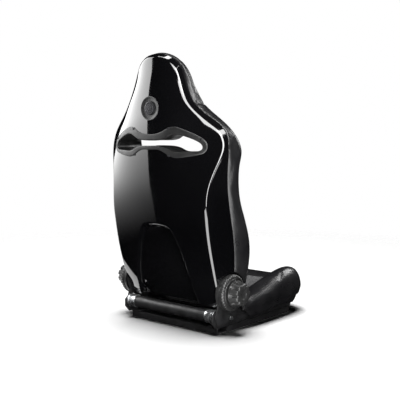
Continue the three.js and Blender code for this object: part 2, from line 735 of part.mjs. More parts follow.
placePair("side_frame", makeSideFrame(), "satin_steel");
place("rear_cross_tube", makeCrossTube(REAR_TUBE), "satin_steel");
placePair("rear_tube_collar", makeCollar(), "zinc_steel");
place("front_cross_tube", makeCrossTube(FRONT_TUBE), "satin_steel");
place("seat_pan", makeSeatPan(), "satin_steel");
placePair("upper_rail", makeUpperRail(), "zinc_steel");
placePair("front_frame_bolt", makeFrameBolt(FRAME_BOLTS_Y[0]), "zinc_steel");
placePair("rear_frame_bolt", makeFrameBolt(FRAME_BOLTS_Y[1]), "zinc_steel");

// ---------------------------------------------------------------- cushion

const seatMiddle = smooth(SEAT_MIDDLE);
const seatPeak = curve(SEAT_PEAK);
const seatSide = curve(SEAT_SIDE);
const seatHem = curve(SEAT_HEM);
const SEAT_STEPS = 20;
const HEM_THICKNESS = 7;

function seatTop() {
  const row = (t, s) => {
    const p = seatPeak.getPoint(t);
    const middle = seatMiddle(-p.y);
    return new THREE.Vector3(p.x * s, p.y, middle + (p.z - middle) * bolsterRise(s));
  };
  const towardsSide = (f) => (t) => {
    const [a, b] = [seatPeak.getPoint(t), seatSide.getPoint(t)];
    return quarter(a, b, new THREE.Vector3(b.x, b.y, a.z), f);
  };
  const towardsHem = (f) => (t) => seatSide.getPoint(t).lerp(seatHem.getPoint(t), f);
  const bands = [0.45, 1].map(towardsSide).concat(towardsHem(1));
  return skin(row, bands, SEAT_STEPS, PAD_ACROSS);
}

function seatUnderside() {
  const floor = PAN.top + 1;
  const row = (t, s) => {
    const p = seatHem.getPoint(t);
    const y = Math.max(p.y + 30, PAN.front + 6);
    return new THREE.Vector3(p.x * 0.84 * s, y, floor);
  };
  const towardsHem = (f) => (t) => {
    const hem = seatHem.getPoint(t);
    const share = Math.max(0, 1 - HEM_THICKNESS / Math.max(hem.x, HEM_THICKNESS));
    const inner = new THREE.Vector3(hem.x * share, hem.y + HEM_THICKNESS * smoothStep(0.6, 1, t), hem.z);
    return row(t, 1).lerp(inner, f);
  };
  return skin(row, [0.33, 0.67, 1].map(towardsHem), SEAT_STEPS, PAD_ACROSS);
}

const SEAT_SPLIT = { insert: 108, front: -388 };
const frameRoom = box(FRAME.inner - 1.5, 216, -600, 20, 0, 88).add(box(196, 400, -68, 20, 0, 300));
const wholeSeat = between(seatUnderside(), seatTop())
  .subtract(frameRoom).subtract(frameRoom.mirror([1, 0, 0]))
  .subtract(box(-230, 230, PAN.front - 8, 0, 0, PAN.top + FIT_GAP))
  .subtract(box(-BAR.x - 20, BAR.x + 20, BAR.gripY - 13, 0, 0, 52));

function seatBetween(x0, x1, y0, y1) {
  return wholeSeat.intersect(box(x0 + SEAM_GAP / 2, x1 - SEAM_GAP / 2, y0 + SEAM_GAP / 2, y1 - SEAM_GAP / 2, -50, 400));
}

place("cushion_centre", seatBetween(-SEAT_SPLIT.insert, SEAT_SPLIT.insert, SEAT_SPLIT.front, 50), "insert_leather");
place("cushion_front", seatBetween(-SEAT_SPLIT.insert, SEAT_SPLIT.insert, -600, SEAT_SPLIT.front), "leather");
placePair("cushion_bolster", seatBetween(SEAT_SPLIT.insert, 400, -600, 50), "leather");

// ---------------------------------------------------------------- floor rails and release bar

function makeLowerRail() {
  const { x, width, height, wall, slot, rear, front } = RAIL;
  const half = width / 2;
  const outside = box(x - half, x + half, front, rear, 0, height);
  const inside = box(x - half + wall, x + half - wall, front - 1, rear + 1, wall, height - wall);
  const opening = box(x - slot / 2, x + slot / 2, front - 1, rear + 1, wall, height + 1);
  return RAIL_HOLES_Y.reduce(
    (rail, y) => rail.subtract(solid(new THREE.CylinderGeometry(4.5, 4.5, 10, 16)
      .rotateX(Math.PI / 2).translate(x, y, 0))),
    outside.subtract(inside).subtract(opening),
  );
}

function makeRearBrace() {
  const { rear, height, wall, end } = BRACE;
  const front = RAIL.rear + FIT_GAP;
  return box(-end, end, front, rear, 0, height)
    .subtract(box(-end - 1, end + 1, front + wall, rear - wall, wall, height - wall));
}

function makeReleaseBar() {
  const { radius, y, z, gripY, gripZ, x, end } = BAR;
  const half = [
    [end, y, z], [x + 18, y, z], [x + 8, y, z], [x, y - 8, z - 0.6], [x, y - 60, z - 4], [x, gripY + 40, gripZ + 3],
    [x - 8, gripY + 12, gripZ + 1], [x - 34, gripY, gripZ],
  ];
  const other = half.map(([px, py, pz]) => [-px, py, pz]).reverse();
  return tube([...half, ...other], radius, 44);
}

placePair("lower_rail", makeLowerRail(), "zinc_steel");
place("floor_brace_rear", makeRearBrace(), "satin_steel");
place("floor_brace_front", box(
  -(RAIL.x - RAIL.width / 2) + FIT_GAP, RAIL.x - RAIL.width / 2 - FIT_GAP, RAIL.front + 4, RAIL.front + 34, 0, 4),
"satin_steel");
place("release_bar", makeReleaseBar(), "satin_steel");

seat.position.y = AXIS_Y;
export default racing;
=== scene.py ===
# A reclining motorsport seat seen from behind: a gloss black composite shell, leather pads, a harness
# slot with moulded trim, a pair of round recliners with hand knobs, and a steel base on floor rails.
# Lengths are in millimetres, measured from the recline axis (y = 0) and the floor (z = 0).
import json
import math

import bmesh
import bpy
import numpy as np
from mathutils import Matrix, Vector

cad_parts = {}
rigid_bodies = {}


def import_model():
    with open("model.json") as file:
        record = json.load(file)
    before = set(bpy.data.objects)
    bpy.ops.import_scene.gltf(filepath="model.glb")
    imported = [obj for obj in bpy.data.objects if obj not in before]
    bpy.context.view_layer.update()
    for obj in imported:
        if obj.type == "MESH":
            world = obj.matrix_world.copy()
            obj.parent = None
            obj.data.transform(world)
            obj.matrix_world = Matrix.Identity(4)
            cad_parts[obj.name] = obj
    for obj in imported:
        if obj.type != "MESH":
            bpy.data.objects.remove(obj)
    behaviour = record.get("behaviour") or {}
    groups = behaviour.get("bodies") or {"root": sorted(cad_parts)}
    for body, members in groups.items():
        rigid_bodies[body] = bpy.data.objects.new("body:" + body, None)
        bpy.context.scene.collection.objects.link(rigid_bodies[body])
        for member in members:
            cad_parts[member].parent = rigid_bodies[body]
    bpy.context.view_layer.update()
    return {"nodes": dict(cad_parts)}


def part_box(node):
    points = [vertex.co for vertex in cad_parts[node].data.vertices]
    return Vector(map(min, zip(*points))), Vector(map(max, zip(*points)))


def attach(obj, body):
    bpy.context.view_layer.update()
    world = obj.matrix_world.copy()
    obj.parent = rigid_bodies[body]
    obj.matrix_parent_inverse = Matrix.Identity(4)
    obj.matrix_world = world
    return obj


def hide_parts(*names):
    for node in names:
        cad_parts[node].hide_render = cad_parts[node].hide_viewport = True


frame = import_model()

MM = 0.001
rod_low, rod_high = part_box("recliner_sync_rod")
AXIS_Y = (rod_low.y + rod_high.y) / 2 / MM  # from the middle of the footprint back to the recline axis
AXIS_Z = (rod_low.z + rod_high.z) / 2 / MM

# ---- dimensions

SHELL_WALL = 4
CAVITY = 27
BACK_BOW = 2.3  # how late the back face turns forward towards its crease
CREASE_ROUND = (9, 5)  # rounding of the crease beside the torso and round the head
RECESS_LIP = 4.4  # depth of the sloping lip round the recess
RECESS_DEPTH = 16
RECESS_TOP = 385  # below it, the shell's sections lie closer together
SHELL_BOTTOM = 84
LIFTED_BELOW = 200  # below it, the back is drawn up to the shell's lower edge
FLANGE_WIDTH = 16.0  # of the slot's rear trim, where its outline gives none
FRONT_FLANGE = 11
BADGE_Z = 755
BADGE_RING = 39
BADGE_DISC = 23
COVER = {"inner": 209.4, "outer": 240, "radius": 63, "clearance": 2.6}
COVER_ROOM = (203, 320)  # from and to which x the back makes room for a cover
COVER_RIBS = 36
RIB_DEPTH = 1.5
KNOB = {"inner": 241, "shoulder": 249, "outer": 280, "radius": 46, "tip": 38, "flutes": 9}
FLUTE_DEPTH = 5.5
REAR_TUBE = {"y": 46, "z": 62, "radius": 20.5, "wall": 2.5, "end": 200.2}
COLLAR = {"radius": 24.5, "inner": 164}
FRONT_TUBE = {"y": -262, "z": 47, "radius": 12, "wall": 2, "end": 195.6}
ROD_RADIUS = 6
BAR_RADIUS = 5
BAR_PATH = [
    (171, -300, 34), (160, -300, 34), (150, -300, 34), (142, -308, 33.4), (142, -360, 30),
    (142, -415, 23), (134, -443, 21), (108, -455, 20),
]
BEZEL_SCREWS = [(-80, 688), (80, 688), (-190, 655), (190, 655), (-80, 600), (80, 600)]
SLOT_ROOM = 4.6  # between the harness slot and the foam round it
GLUED_BY_SLOT = 9  # how far from the slot the covers are held
INSERT_EDGE = 106  # half width of the plain middle of the back
HEAD_SEAM = 767
NECK_SEAM = 640
SEAT_INSERT_EDGE = 108
SEAT_FRONT_SEAM = -388
SEAM_GAP = 0.8
SEAM_LAP = 1.5  # how far a cover reaches past its seam, to be drawn in by the sewing
INSERT_SHARE = 0.5  # share of the width that lies flat between the bolsters
STUFFING_ROOM = 0.8  # how much smaller than its place a cover starts
STUFFING_STEPS = 20

# Guide curves on the occupant's left, from the bottom up to the middle of the top, as (x, y, z).
SHELL_CREASE = [
    (200, 28, 84), (212, 56, 154), (216, 84, 240), (215, 105, 330), (215, 117, 420), (218, 114, 490),
    (236, 96, 560), (251, 80, 620), (234, 80, 675), (180, 100, 723), (127, 118, 780), (98, 116, 850),
    (64, 125, 905), (0, 135, 925),
]
SHELL_EDGE = [
    (216, -20, 84), (226, -13, 154), (231, -13, 240), (232, -4, 330), (233, 16, 420), (239, 35, 490),
    (250, 50, 560), (262, 62, 622), (245, 62, 682), (189, 84, 732), (135, 102, 787), (105, 100, 857),
    (71, 110, 914), (0, 119, 935),
]
PAD_RIM = [
    (234, -42, 116), (238, -50, 150), (241, -61, 215), (243, -65, 290), (243, -42, 370), (243, -14, 450),
    (253, 4, 520), (266, 13, 575), (276, 18, 622), (257, 38, 680), (205, 47, 729), (152, 78, 785),
    (121, 90, 855), (87, 105, 913), (0, 99, 942),
]
PAD_PEAK = [
    (190, -84, 116), (194, -96, 150), (199, -112, 215), (200, -115, 290), (196, -92, 370),
    (192, -64, 450), (197, -42, 520), (207, -29, 575), (216, -20, 622), (204, 2, 672), (164, 22, 717),
    (117, 38, 772), (90, 48, 842), (61, 60, 897), (0, 72, 928),
]
# Middle of the back, outside of the shell, and middle of the padded front, as (z, y).
SHELL_MIDDLE = [
    (84, 66), (104, 73), (154, 91), (240, 107), (330, 122), (420, 134), (490, 142), (560, 147),
    (620, 150), (700, 152), (780, 151), (850, 145), (905, 137), (925, 135),
]
PAD_MIDDLE = [
    (116, -20), (150, -13), (215, 6), (290, 24), (370, 40), (450, 52), (520, 60), (600, 68), (690, 74),
    (760, 70), (850, 62), (928, 72),
]
# Cushion guide curves on the occupant's left, from the rear forward to the middle of the front.
SEAT_SIDE = [
    (224, -40, 82), (232, -72, 84), (238, -115, 88), (243, -170, 94), (244, -240, 102), (244, -310, 110),
    (242, -370, 108), (233, -418, 98), (208, -458, 88), (150, -486, 82), (80, -497, 80), (0, -500, 80),
]
SEAT_PEAK = [
    (200, -40, 103), (204, -72, 107), (208, -115, 117), (211, -170, 132), (212, -240, 156),
    (213, -310, 174), (211, -362, 178), (204, -402, 168), (180, -436, 148), (128, -464, 127),
    (68, -475, 120), (0, -478, 118),
]
SEAT_HEM = [
    (222, -40, 52), (228, -72, 46), (233, -115, 38), (237, -170, 40), (238, -240, 46), (237, -310, 48),
    (232, -362, 38), (222, -400, 27), (198, -436, 24), (140, -462, 36), (74, -473, 46), (0, -476, 50),
]
# Middle of the cushion top, as (-y, z).
SEAT_MIDDLE = [(40, 97), (100, 93), (170, 92), (290, 104), (400, 118), (478, 118)]

# Outlines in the X-Z plane, occupant's left half, from the top middle round to the bottom middle.
SLOT_HOLE = [
    (0, 648), (56, 650), (78, 663), (104, 672), (148, 660), (184, 645), (196, 631), (190, 616),
    (140, 614), (96, 613), (60, 630), (0, 632),
]
SLOT_FLANGE = [
    (0, 669), (40, 672), (58, 687), (76, 697), (98, 697), (150, 680), (188, 662), (208, 645), (212, 628),
    (202, 608), (156, 598), (100, 590), (72, 603), (42, 619), (0, 618),
]
RECESS = [(0, 369), (48, 365), (74, 345), (98, 286), (118, 212), (127, 166), (135, 99), (138, 40)]
BOTTOM_EDGE = [(0, 106), (110, 104), (150, 93), (200, 90), (225, 84)]  # (x, z) of the shell's lower edge

# ---- curves and outlines


def spline_slopes(knots, values):
    """Slopes of the natural cubic spline through values at knots."""
    h = np.diff(knots)
    rise = np.diff(values, axis=0) / h[:, None]
    n = len(knots)
    matrix = np.zeros((n, n))
    right = np.zeros_like(values)
    matrix[0, :2] = (2, 1)
    matrix[-1, -2:] = (1, 2)
    right[0] = 3 * rise[0]
    right[-1] = 3 * rise[-1]
    for i in range(1, n - 1):
        matrix[i, i - 1:i + 2] = (h[i], 2 * (h[i] + h[i - 1]), h[i - 1])
        right[i] = 3 * (h[i] * rise[i - 1] + h[i - 1] * rise[i])
    return np.linalg.solve(matrix, right)


class Spline:
    """A smooth line through values at rising knots."""

    def __init__(self, knots, values):
        self.knots = np.array(knots, float)
        self.values = np.array(values, float).reshape(len(knots), -1)
        self.slopes = spline_slopes(self.knots, self.values)

    def at(self, where):
        where = np.clip(np.asarray(where, float), self.knots[0], self.knots[-1])
        i = np.clip(np.searchsorted(self.knots, where, side="right") - 1, 0, len(self.knots) - 2)
        span = (self.knots[i + 1] - self.knots[i])[..., None]
        f = (where - self.knots[i])[..., None] / span
        g = 1 - f
        ends = g * g * (1 + 2 * f) * self.values[i] + f * f * (3 - 2 * f) * self.values[i + 1]
        return ends + span * f * g * (g * self.slopes[i] - f * self.slopes[i + 1])


def gaps(points):
    """The distance from each point to the next."""
    return np.linalg.norm(np.diff(points, axis=0), axis=1)


def running(steps):
    """The sum of the steps so far, from 0."""
    return np.concatenate([[0], np.cumsum(steps)])


class Guide:
    """A smooth curve through points. It ends on the middle plane, where it meets its mirror image."""

    def __init__(self, points):
        points = np.array(points, float)
        self.spans = len(points) - 1
        whole = np.vstack([points, points[-2::-1] * (-1, 1, 1)])
        self.line = Spline(running(gaps(whole) ** 0.5), whole)

    def at(self, t):
        numbers = np.arange(self.spans + 1)
        place = np.interp(np.asarray(t) * self.spans, numbers, self.line.knots[:self.spans + 1])
        return self.line.at(place)


def profile(pairs):
    """A smooth function through (place, value) pairs."""
    line = Spline([p[0] for p in pairs], [p[1] for p in pairs])
    return lambda a: line.at(a)[..., 0]


def smooth_step(low, high, a):
    """0 below low, 1 above high, and a smooth rise between them."""
    f = np.clip((np.asarray(a, float) - low) / (high - low), 0, 1)
    return f * f * (3 - 2 * f)


def rising(count):
    """A column of even steps from above 0 up to 1."""
    return np.linspace(0, 1, count + 1)[1:, None]


def full_turn(sides):
    return np.linspace(0, 2 * math.pi, sides, endpoint=False)


def whole_outline(half):
    """A half outline, from top middle to bottom middle, made whole."""
    return np.array([(-x, z) for x, z in half[::-1] if x > 0] + list(half), float)


def rounded(outline, rounds=4):
    """A closed outline with its corners cut again and again until they are round."""
    for _ in range(rounds):
        following = np.roll(outline, -1, axis=0)
        outline = np.stack([0.75 * outline + 0.25 * following, 0.25 * outline + 0.75 * following], axis=1)
        outline = outline.reshape(-1, 2)
    return outline


def resampled(outline, count):
    """A closed outline as evenly spaced points."""
    closed = np.vstack([outline, outline[:1]])
    along = running(gaps(closed))
    where = np.linspace(0, along[-1], count, endpoint=False)
    return np.stack([np.interp(where, along, closed[:, k]) for k in (0, 1)], axis=1)


def outward_normals(outline):
    ahead = np.roll(outline, -1, axis=0) - np.roll(outline, 1, axis=0)
    normal = np.stack([ahead[:, 1], -ahead[:, 0]], axis=1)
    normal /= np.linalg.norm(normal, axis=1)[:, None]
    area = np.sum(outline[:, 0] * np.roll(outline[:, 1], -1) - np.roll(outline[:, 0], -1) * outline[:, 1])
    return normal if area > 0 else -normal


def inside_distance(outline, points):
    """How far points lie inside a closed outline, less than 0 outside it."""
    points = np.asarray(points, float).reshape(-1, 2)
    start = outline
    run = np.roll(outline, -1, axis=0) - start
    to_point = points[:, None, :] - start[None, :, :]
    share = np.clip((to_point * run).sum(2) / (run * run).sum(1), 0, 1)
    distance = np.linalg.norm(to_point - share[..., None] * run, axis=2).min(1)
    z = points[:, 1, None]
    end_z = start[:, 1] + run[:, 1]
    crosses = (start[:, 1] > z) != (end_z > z)
    level = np.where(run[:, 1] == 0, 1, run[:, 1])
    x_at = start[:, 0] + (z - start[:, 1]) / level * run[:, 0]
    inside = (crosses & (points[:, 0, None] < x_at)).sum(1) % 2 == 1
    return np.where(inside, distance, -distance)


# ---- meshes


def row_frame(points):
    """Millimetres about the recline axis to metres in the part's frame."""
    return (np.asarray(points, float) + (0, AXIS_Y, 0)) * MM


def placed(name, data):
    """A new object in the scene."""
    thing = bpy.data.objects.new(name, data)
    bpy.context.scene.collection.objects.link(thing)
    return thing


def new_piece(name, points, faces):
    mesh = bpy.data.meshes.new(name)
    mesh.from_pydata(row_frame(points).tolist(), [], faces)
    return placed(name, mesh)


def grid_faces(rows, columns, wrap=False, turned_over=False):
    faces = []
    for i in range(rows - 1):
        for j in range(columns if wrap else columns - 1):
            k = (j + 1) % columns
            quad = (i * columns + j, i * columns + k, (i + 1) * columns + k, (i + 1) * columns + j)
            faces.append(quad[::-1] if turned_over else quad)
    return faces


def both_halves(half):
    """Sections that start on the middle plane, made whole."""
    return np.concatenate([half[:, :0:-1] * (-1, 1, 1), half], axis=1)


def tidy_mesh(piece, weld=0.05, sharp=50):
    """Welds points that coincide, faces everything outwards and shades it smooth except at sharp edges."""
    work = bmesh.new()
    work.from_mesh(piece.data)
    bmesh.ops.remove_doubles(work, verts=work.verts, dist=weld * MM)
    bmesh.ops.dissolve_degenerate(work, edges=work.edges, dist=weld * MM)
    bmesh.ops.recalc_face_normals(work, faces=work.faces)
    work.to_mesh(piece.data)
    work.free()
    piece.data.shade_smooth()
    piece.data.set_sharp_from_angle(angle=math.radians(sharp))
    return piece


def apply_modifiers(piece):
    """Replaces the mesh by what its modifiers make of it."""
    depsgraph = bpy.context.evaluated_depsgraph_get()
    mesh = bpy.data.meshes.new_from_object(piece.evaluated_get(depsgraph))
    piece.modifiers.clear()
    old = piece.data
    piece.data = mesh
    bpy.data.meshes.remove(old)
    return piece


def modified(piece, kind, **settings):
    """The piece after one modifier."""
    modifier = piece.modifiers.new(kind, kind)
    for key, value in settings.items():
        setattr(modifier, key, value)
    return apply_modifiers(piece)


def discard(*pieces):
    for piece in pieces:
        bpy.data.objects.remove(piece)


def cut(piece, cutters, operation="DIFFERENCE"):
    """Takes the cutters from the piece one by one, or meets or joins it with them, and discards them."""
    for cutter in cutters:
        modified(piece, "BOOLEAN", object=cutter, operation=operation, solver="EXACT")
    discard(*cutters)
    return piece


def block(name, x0, x1, y0, y1, z0, z1):
    corners = [(x, y, z) for x in (x0, x1) for y in (y0, y1) for z in (z0, z1)]
    faces = [(0, 1, 3, 2), (4, 6, 7, 5), (0, 4, 5, 1), (2, 3, 7, 6), (0, 2, 6, 4), (1, 5, 7, 3)]
    return new_piece(name, corners, faces)


def ring_body(name, rings, sharp):
    """A body skinned over closed rings of points, from each ring to the next."""
    rings = np.asarray(rings)
    faces = grid_faces(len(rings), rings.shape[1], wrap=True)
    return tidy_mesh(new_piece(name, rings.reshape(-1, 3), faces), sharp=sharp)


def turned(name, outline, y, z, sides, closed=False):
    """A body turned about a line along X through (y, z), from its (radius, x) outline."""
    rings = np.array(outline, float)
    angles = full_turn(sides)
    x = np.broadcast_to(rings[:, 1, None], (len(rings), sides))
    across = rings[:, 0, None] * np.cos(angles)
    up = rings[:, 0, None] * np.sin(angles)
    points = np.stack([x, y + across, z + up], axis=2)
    if closed:
        points = np.concatenate([points, points[:1]])
    return ring_body(name, points, 40)


def arc(centre, radius, start, end, steps=5):
    """Points on an arc in a turned outline, angles in degrees."""
    angles = np.radians(np.linspace(start, end, steps))
    return [(centre[0] + radius * math.cos(a), centre[1] + radius * math.sin(a)) for a in angles]


def tube_along(name, points, radius, sides):
    """A round bar along a line of points, with closed ends."""
    ahead = np.gradient(points, axis=0)
    ahead /= np.linalg.norm(ahead, axis=1)[:, None]
    side = np.cross(ahead, (0.13, 0.31, 0.94))
    side /= np.linalg.norm(side, axis=1)[:, None]
    up = np.cross(side, ahead)
    angles = full_turn(sides)
    rings = (points[:, None] + radius * np.cos(angles)[None, :, None] * side[:, None]
             + radius * np.sin(angles)[None, :, None] * up[:, None])
    last = (len(rings) - 1) * sides
    faces = grid_faces(len(rings), sides, wrap=True)
    faces += [tuple(range(sides)), tuple(last + k for k in reversed(range(sides)))]
    return tidy_mesh(new_piece(name, rings.reshape(-1, 3), faces), sharp=60)


def smooth_path(points, count):
    """A smooth open line through points, evenly spaced."""
    points = np.array(points, float)
    line = Spline(running(gaps(points) ** 0.5), points)
    dense = line.at(np.linspace(0, line.knots[-1], 600))
    along = running(gaps(dense))
    where = np.linspace(0, along[-1], count)
    return np.stack([np.interp(where, along, dense[:, k]) for k in range(3)], axis=1)


def mirrored_piece(piece):
    """The right-hand twin of a left-hand piece."""
    twin = placed(piece.name.replace("left", "right"), piece.data.copy())
    twin.data.transform(Matrix.Scale(-1, 4, (1, 0, 0)))
    twin.data.flip_normals()
    return twin


def fit_out(piece, body, node, material, slot):
    """Gives a piece its body and its material, and hides the CAD node it stands for; slot, its finish, is not
    used.
    """
    piece.data.materials.clear()
    piece.data.materials.append(material)
    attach(piece, body)
    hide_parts(node)


def fit_out_pair(piece, body, stem, material, slot):
    """Fits out a left-hand piece and its twin on the right."""
    twin = mirrored_piece(piece)
    fit_out(piece, body, stem + "_left", material, slot)
    fit_out(twin, body, stem + "_right", material, slot)


# ---- materials


class Surface:
    """A procedural material, built up from noise and cells laid over the piece in metres."""

    def __init__(self, name, color, roughness, metallic=0.0):
        self.material = bpy.data.materials.new(name)
        self.material.use_nodes = True
        self.tree = self.material.node_tree
        self.shader = self.tree.nodes["Principled BSDF"]
        self.set("Base Color", (*color, 1))
        self.set("Roughness", roughness)
        self.set("Metallic", metallic)
        self.place = self.node("TexCoord").outputs["Object"]
        self.bump = None

    def set(self, socket, value):
        self.shader.inputs[socket].default_value = value

    def node(self, kind):
        return self.tree.nodes.new("ShaderNode" + kind)

    def link(self, value, node, socket):
        self.tree.links.new(value, node.inputs[socket])

    def texture(self, kind, scale, stretch=None, **settings):
        node = self.node(kind)
        if scale is not None:
            node.inputs["Scale"].default_value = scale
        for key, value in settings.items():
            if key in node.inputs:
                node.inputs[key].default_value = value
            else:
                setattr(node, key, value)
        place = self.place
        if stretch:
            mapping = self.node("Mapping")
            mapping.inputs["Scale"].default_value = stretch
            self.link(place, mapping, "Vector")
            place = mapping.outputs["Vector"]
        self.link(place, node, "Vector")
        return node

    def noise(self, scale, detail=3.0, stretch=None):
        return self.texture("TexNoise", scale, stretch, Detail=detail).outputs["Fac"]

    def cells(self, scale, feature="F1", randomness=1.0):
        node = self.texture("TexVoronoi", scale, feature=feature, Randomness=randomness)
        return node.outputs["Distance"]

    def ramp(self, value, low, high, start, end):
        """value from low to high, as start to end: a number or a colour."""
        if isinstance(start, tuple):
            node = self.node("ValToRGB")
            node.color_ramp.elements[0].position = low
            node.color_ramp.elements[0].color = (*start, 1)
            node.color_ramp.elements[1].position = high
            node.color_ramp.elements[1].color = (*end, 1)
            self.link(value, node, "Fac")
            return node.outputs["Color"]
        node = self.node("MapRange")
        for socket, number in zip(("From Min", "From Max", "To Min", "To Max"), (low, high, start, end)):
            node.inputs[socket].default_value = number
        self.link(value, node, "Value")
        return node.outputs["Result"]

    def drive(self, socket, value, low, high, start, end):
        """Lets a socket follow value, which goes from low to high, from start to end."""
        self.link(self.ramp(value, low, high, start, end), self.shader, socket)

    def raise_by(self, value, depth, strength=1.0, coat=False):
        """Adds relief of that depth in metres on top of the relief already there."""
        node = self.node("Bump")
        node.inputs["Distance"].default_value = depth
        node.inputs["Strength"].default_value = strength
        self.link(value, node, "Height")
        if self.bump:
            self.link(self.bump, node, "Normal")
        self.bump = node.outputs["Normal"]
        self.link(self.bump, self.shader, "Normal")
        if coat:
            self.link(self.bump, self.shader, "Coat Normal")


def gloss_shell_surface():
    """Clear lacquer over black, with the slight waviness of a moulded part."""
    s = Surface("gloss black shell", (0.0015, 0.0015, 0.0017), 0.06)
    s.set("Coat Weight", 0.6)
    s.set("Coat Roughness", 0.015)
    s.set("Specular IOR Level", 0.5)
    deep, pale = (0.0010, 0.0010, 0.0012), (0.0022, 0.0022, 0.0025)
    s.drive("Base Color", s.noise(3, 2), 0.35, 0.7, deep, pale)
    s.drive("Roughness", s.noise(24, 6), 0.3, 0.75, 0.035, 0.085)
    s.raise_by(s.noise(110, 2), 0.00004, 0.2, coat=True)
    return s.material


def powder_steel_surface():
    s = Surface("powder coated steel", (0.012, 0.012, 0.0126), 0.38, 0.1)
    s.drive("Base Color", s.noise(35, 5), 0.3, 0.75, (0.0084, 0.0084, 0.0084), (0.018, 0.018, 0.0192))
    s.drive("Roughness", s.noise(60, 4), 0.3, 0.7, 0.28, 0.5)
    s.raise_by(s.noise(900, 3), 0.00012, 0.5)
    return s.material


def zinc_surface():
    s = Surface("bright zinc steel", (0.42, 0.43, 0.44), 0.28, 0.95)
    s.drive("Base Color", s.cells(90), 0.0, 0.8, (0.33, 0.34, 0.35), (0.52, 0.53, 0.54))
    s.drive("Roughness", s.noise(55, 6, stretch=(0.15, 1, 1)), 0.3, 0.75, 0.18, 0.42)
    s.raise_by(s.noise(700, 4, stretch=(0.1, 1, 1)), 0.00005, 0.4)
    return s.material


def black_oxide_surface():
    s = Surface("black oxide screw", (0.018, 0.018, 0.02), 0.35, 0.7)
    s.drive("Base Color", s.noise(500, 4), 0.3, 0.7, (0.013, 0.013, 0.015), (0.025, 0.025, 0.027))
    s.drive("Roughness", s.noise(400, 4), 0.3, 0.7, 0.25, 0.5)
    s.raise_by(s.noise(2500, 2), 0.00003, 0.4)
    return s.material


def moulded_plastic_surface(name, shade, roughness):
    """Plastic with the fine pebbled grain of its mould."""
    s = Surface(name, (shade,) * 3, roughness)
    s.drive("Base Color", s.noise(18, 5), 0.3, 0.75, (shade * 0.8,) * 3, (shade * 1.25,) * 3)
    s.drive("Roughness", s.noise(45, 5), 0.3, 0.7, roughness - 0.08, roughness + 0.1)
    s.raise_by(s.cells(1400), 0.00012, 0.45)
    s.raise_by(s.noise(4000, 2), 0.00003, 0.4)
    return s.material


def leather_surface():
    """Hide with soft unevenness, grain cells and pores."""
    s = Surface("grained leather", (0.005, 0.005, 0.0055), 0.34)
    s.set("Specular IOR Level", 0.45)
    s.drive("Base Color", s.noise(14, 6), 0.3, 0.75, (0.0035, 0.0035, 0.004), (0.008, 0.0078, 0.0083))
    s.drive("Roughness", s.noise(30, 5), 0.3, 0.7, 0.26, 0.38)
    s.raise_by(s.noise(38, 4), 0.0012, 0.22)
    s.raise_by(s.cells(620, "DISTANCE_TO_EDGE"), 0.00035, 0.5)
    s.raise_by(s.noise(2600, 3), 0.00006, 0.4)
    return s.material


def insert_surface():
    """Perforated microfibre: a fine nap with rows of small perforations, painted near black inside as painted
    shade.
    """
    s = Surface("perforated microfibre", (0.02, 0.02, 0.021), 0.8)
    s.set("Sheen Weight", 0.15)
    s.set("Sheen Roughness", 0.45)
    mottle = s.ramp(s.noise(60, 7), 0.3, 0.75, (0.012, 0.012, 0.013), (0.03, 0.03, 0.031))
    # Perforation mask: it raises the perforations as relief and paints them near black, which is painted
    # shade inside them.
    perforation_relief_and_shade = s.ramp(s.cells(150, randomness=0.0), 0.16, 0.22, 0.0, 1.0)
    mix = s.node("Mix")
    mix.data_type = "RGBA"
    # The near black colour of the perforations is painted shade.
    mix.inputs["A"].default_value = (0.002, 0.002, 0.002, 1)
    s.link(perforation_relief_and_shade, mix, "Factor")
    s.link(mottle, mix, "B")
    s.link(mix.outputs["Result"], s.shader, "Base Color")
    s.raise_by(perforation_relief_and_shade, 0.0008, 0.6)
    s.raise_by(s.noise(1500, 4), 0.00025, 0.5)
    return s.material


def floor_surface():
    """A pale floor that thins out into the white surroundings a few metres away."""
    s = Surface("studio floor", (0.9, 0.9, 0.9), 0.75)
    s.set("Specular IOR Level", 0.0)
    s.drive("Base Color", s.noise(0.8, 3), 0.2, 0.8, (0.89, 0.89, 0.89), (0.92, 0.92, 0.92))
    ball = s.texture("TexGradient", None, stretch=(0.42, 0.42, 0.42), gradient_type="SPHERICAL")
    s.drive("Alpha", ball.outputs["Fac"], 0.0, 0.45, 0.0, 1.0)
    s.drive("Roughness", s.noise(6, 4), 0.3, 0.7, 0.68, 0.8)
    return s.material


GLOSS = gloss_shell_surface()
STEEL = powder_steel_surface()
ZINC = zinc_surface()
OXIDE = black_oxide_surface()
TRIM = moulded_plastic_surface("moulded trim", 0.006, 0.42)
KNOB_PLASTIC = moulded_plastic_surface("knob plastic", 0.012, 0.36)
LEATHER = leather_surface()
INSERT = insert_surface()

# ---- back shell

crease = Guide(SHELL_CREASE)
shell_edge = Guide(SHELL_EDGE)
shell_middle = profile(SHELL_MIDDLE)
crease_dense = crease.at(np.linspace(0, 1, 3001))
slot_hole = rounded(whole_outline(SLOT_HOLE), 3)
slot_flange = rounded(whole_outline(SLOT_FLANGE), 3)
recess_outline = rounded(whole_outline(RECESS), 4)


def at_height(line, z):
    """x, at least 1, and y of a line of close points, at a height."""
    return np.maximum(np.interp(z, line[:, 2], line[:, 0]), 1), np.interp(z, line[:, 2], line[:, 1])


def back_y(x, z):
    """Where the outside of the back lies at a given x and z."""
    middle = shell_middle(z)
    crease_x, crease_y = at_height(crease_dense, z)
    return middle - (middle - crease_y) * (np.abs(x) / crease_x) ** BACK_BOW


def recess_depth(x, z):
    """How deep the back is pressed in: a sloping lip, then a steep wall."""
    inside = inside_distance(recess_outline, np.stack([x.ravel(), z.ravel()], axis=1)).reshape(x.shape)
    lip = RECESS_LIP * np.clip((inside + 2) / 6, 0, 1)
    return lip + (RECESS_DEPTH - RECESS_LIP) * smooth_step(4, 10, inside)


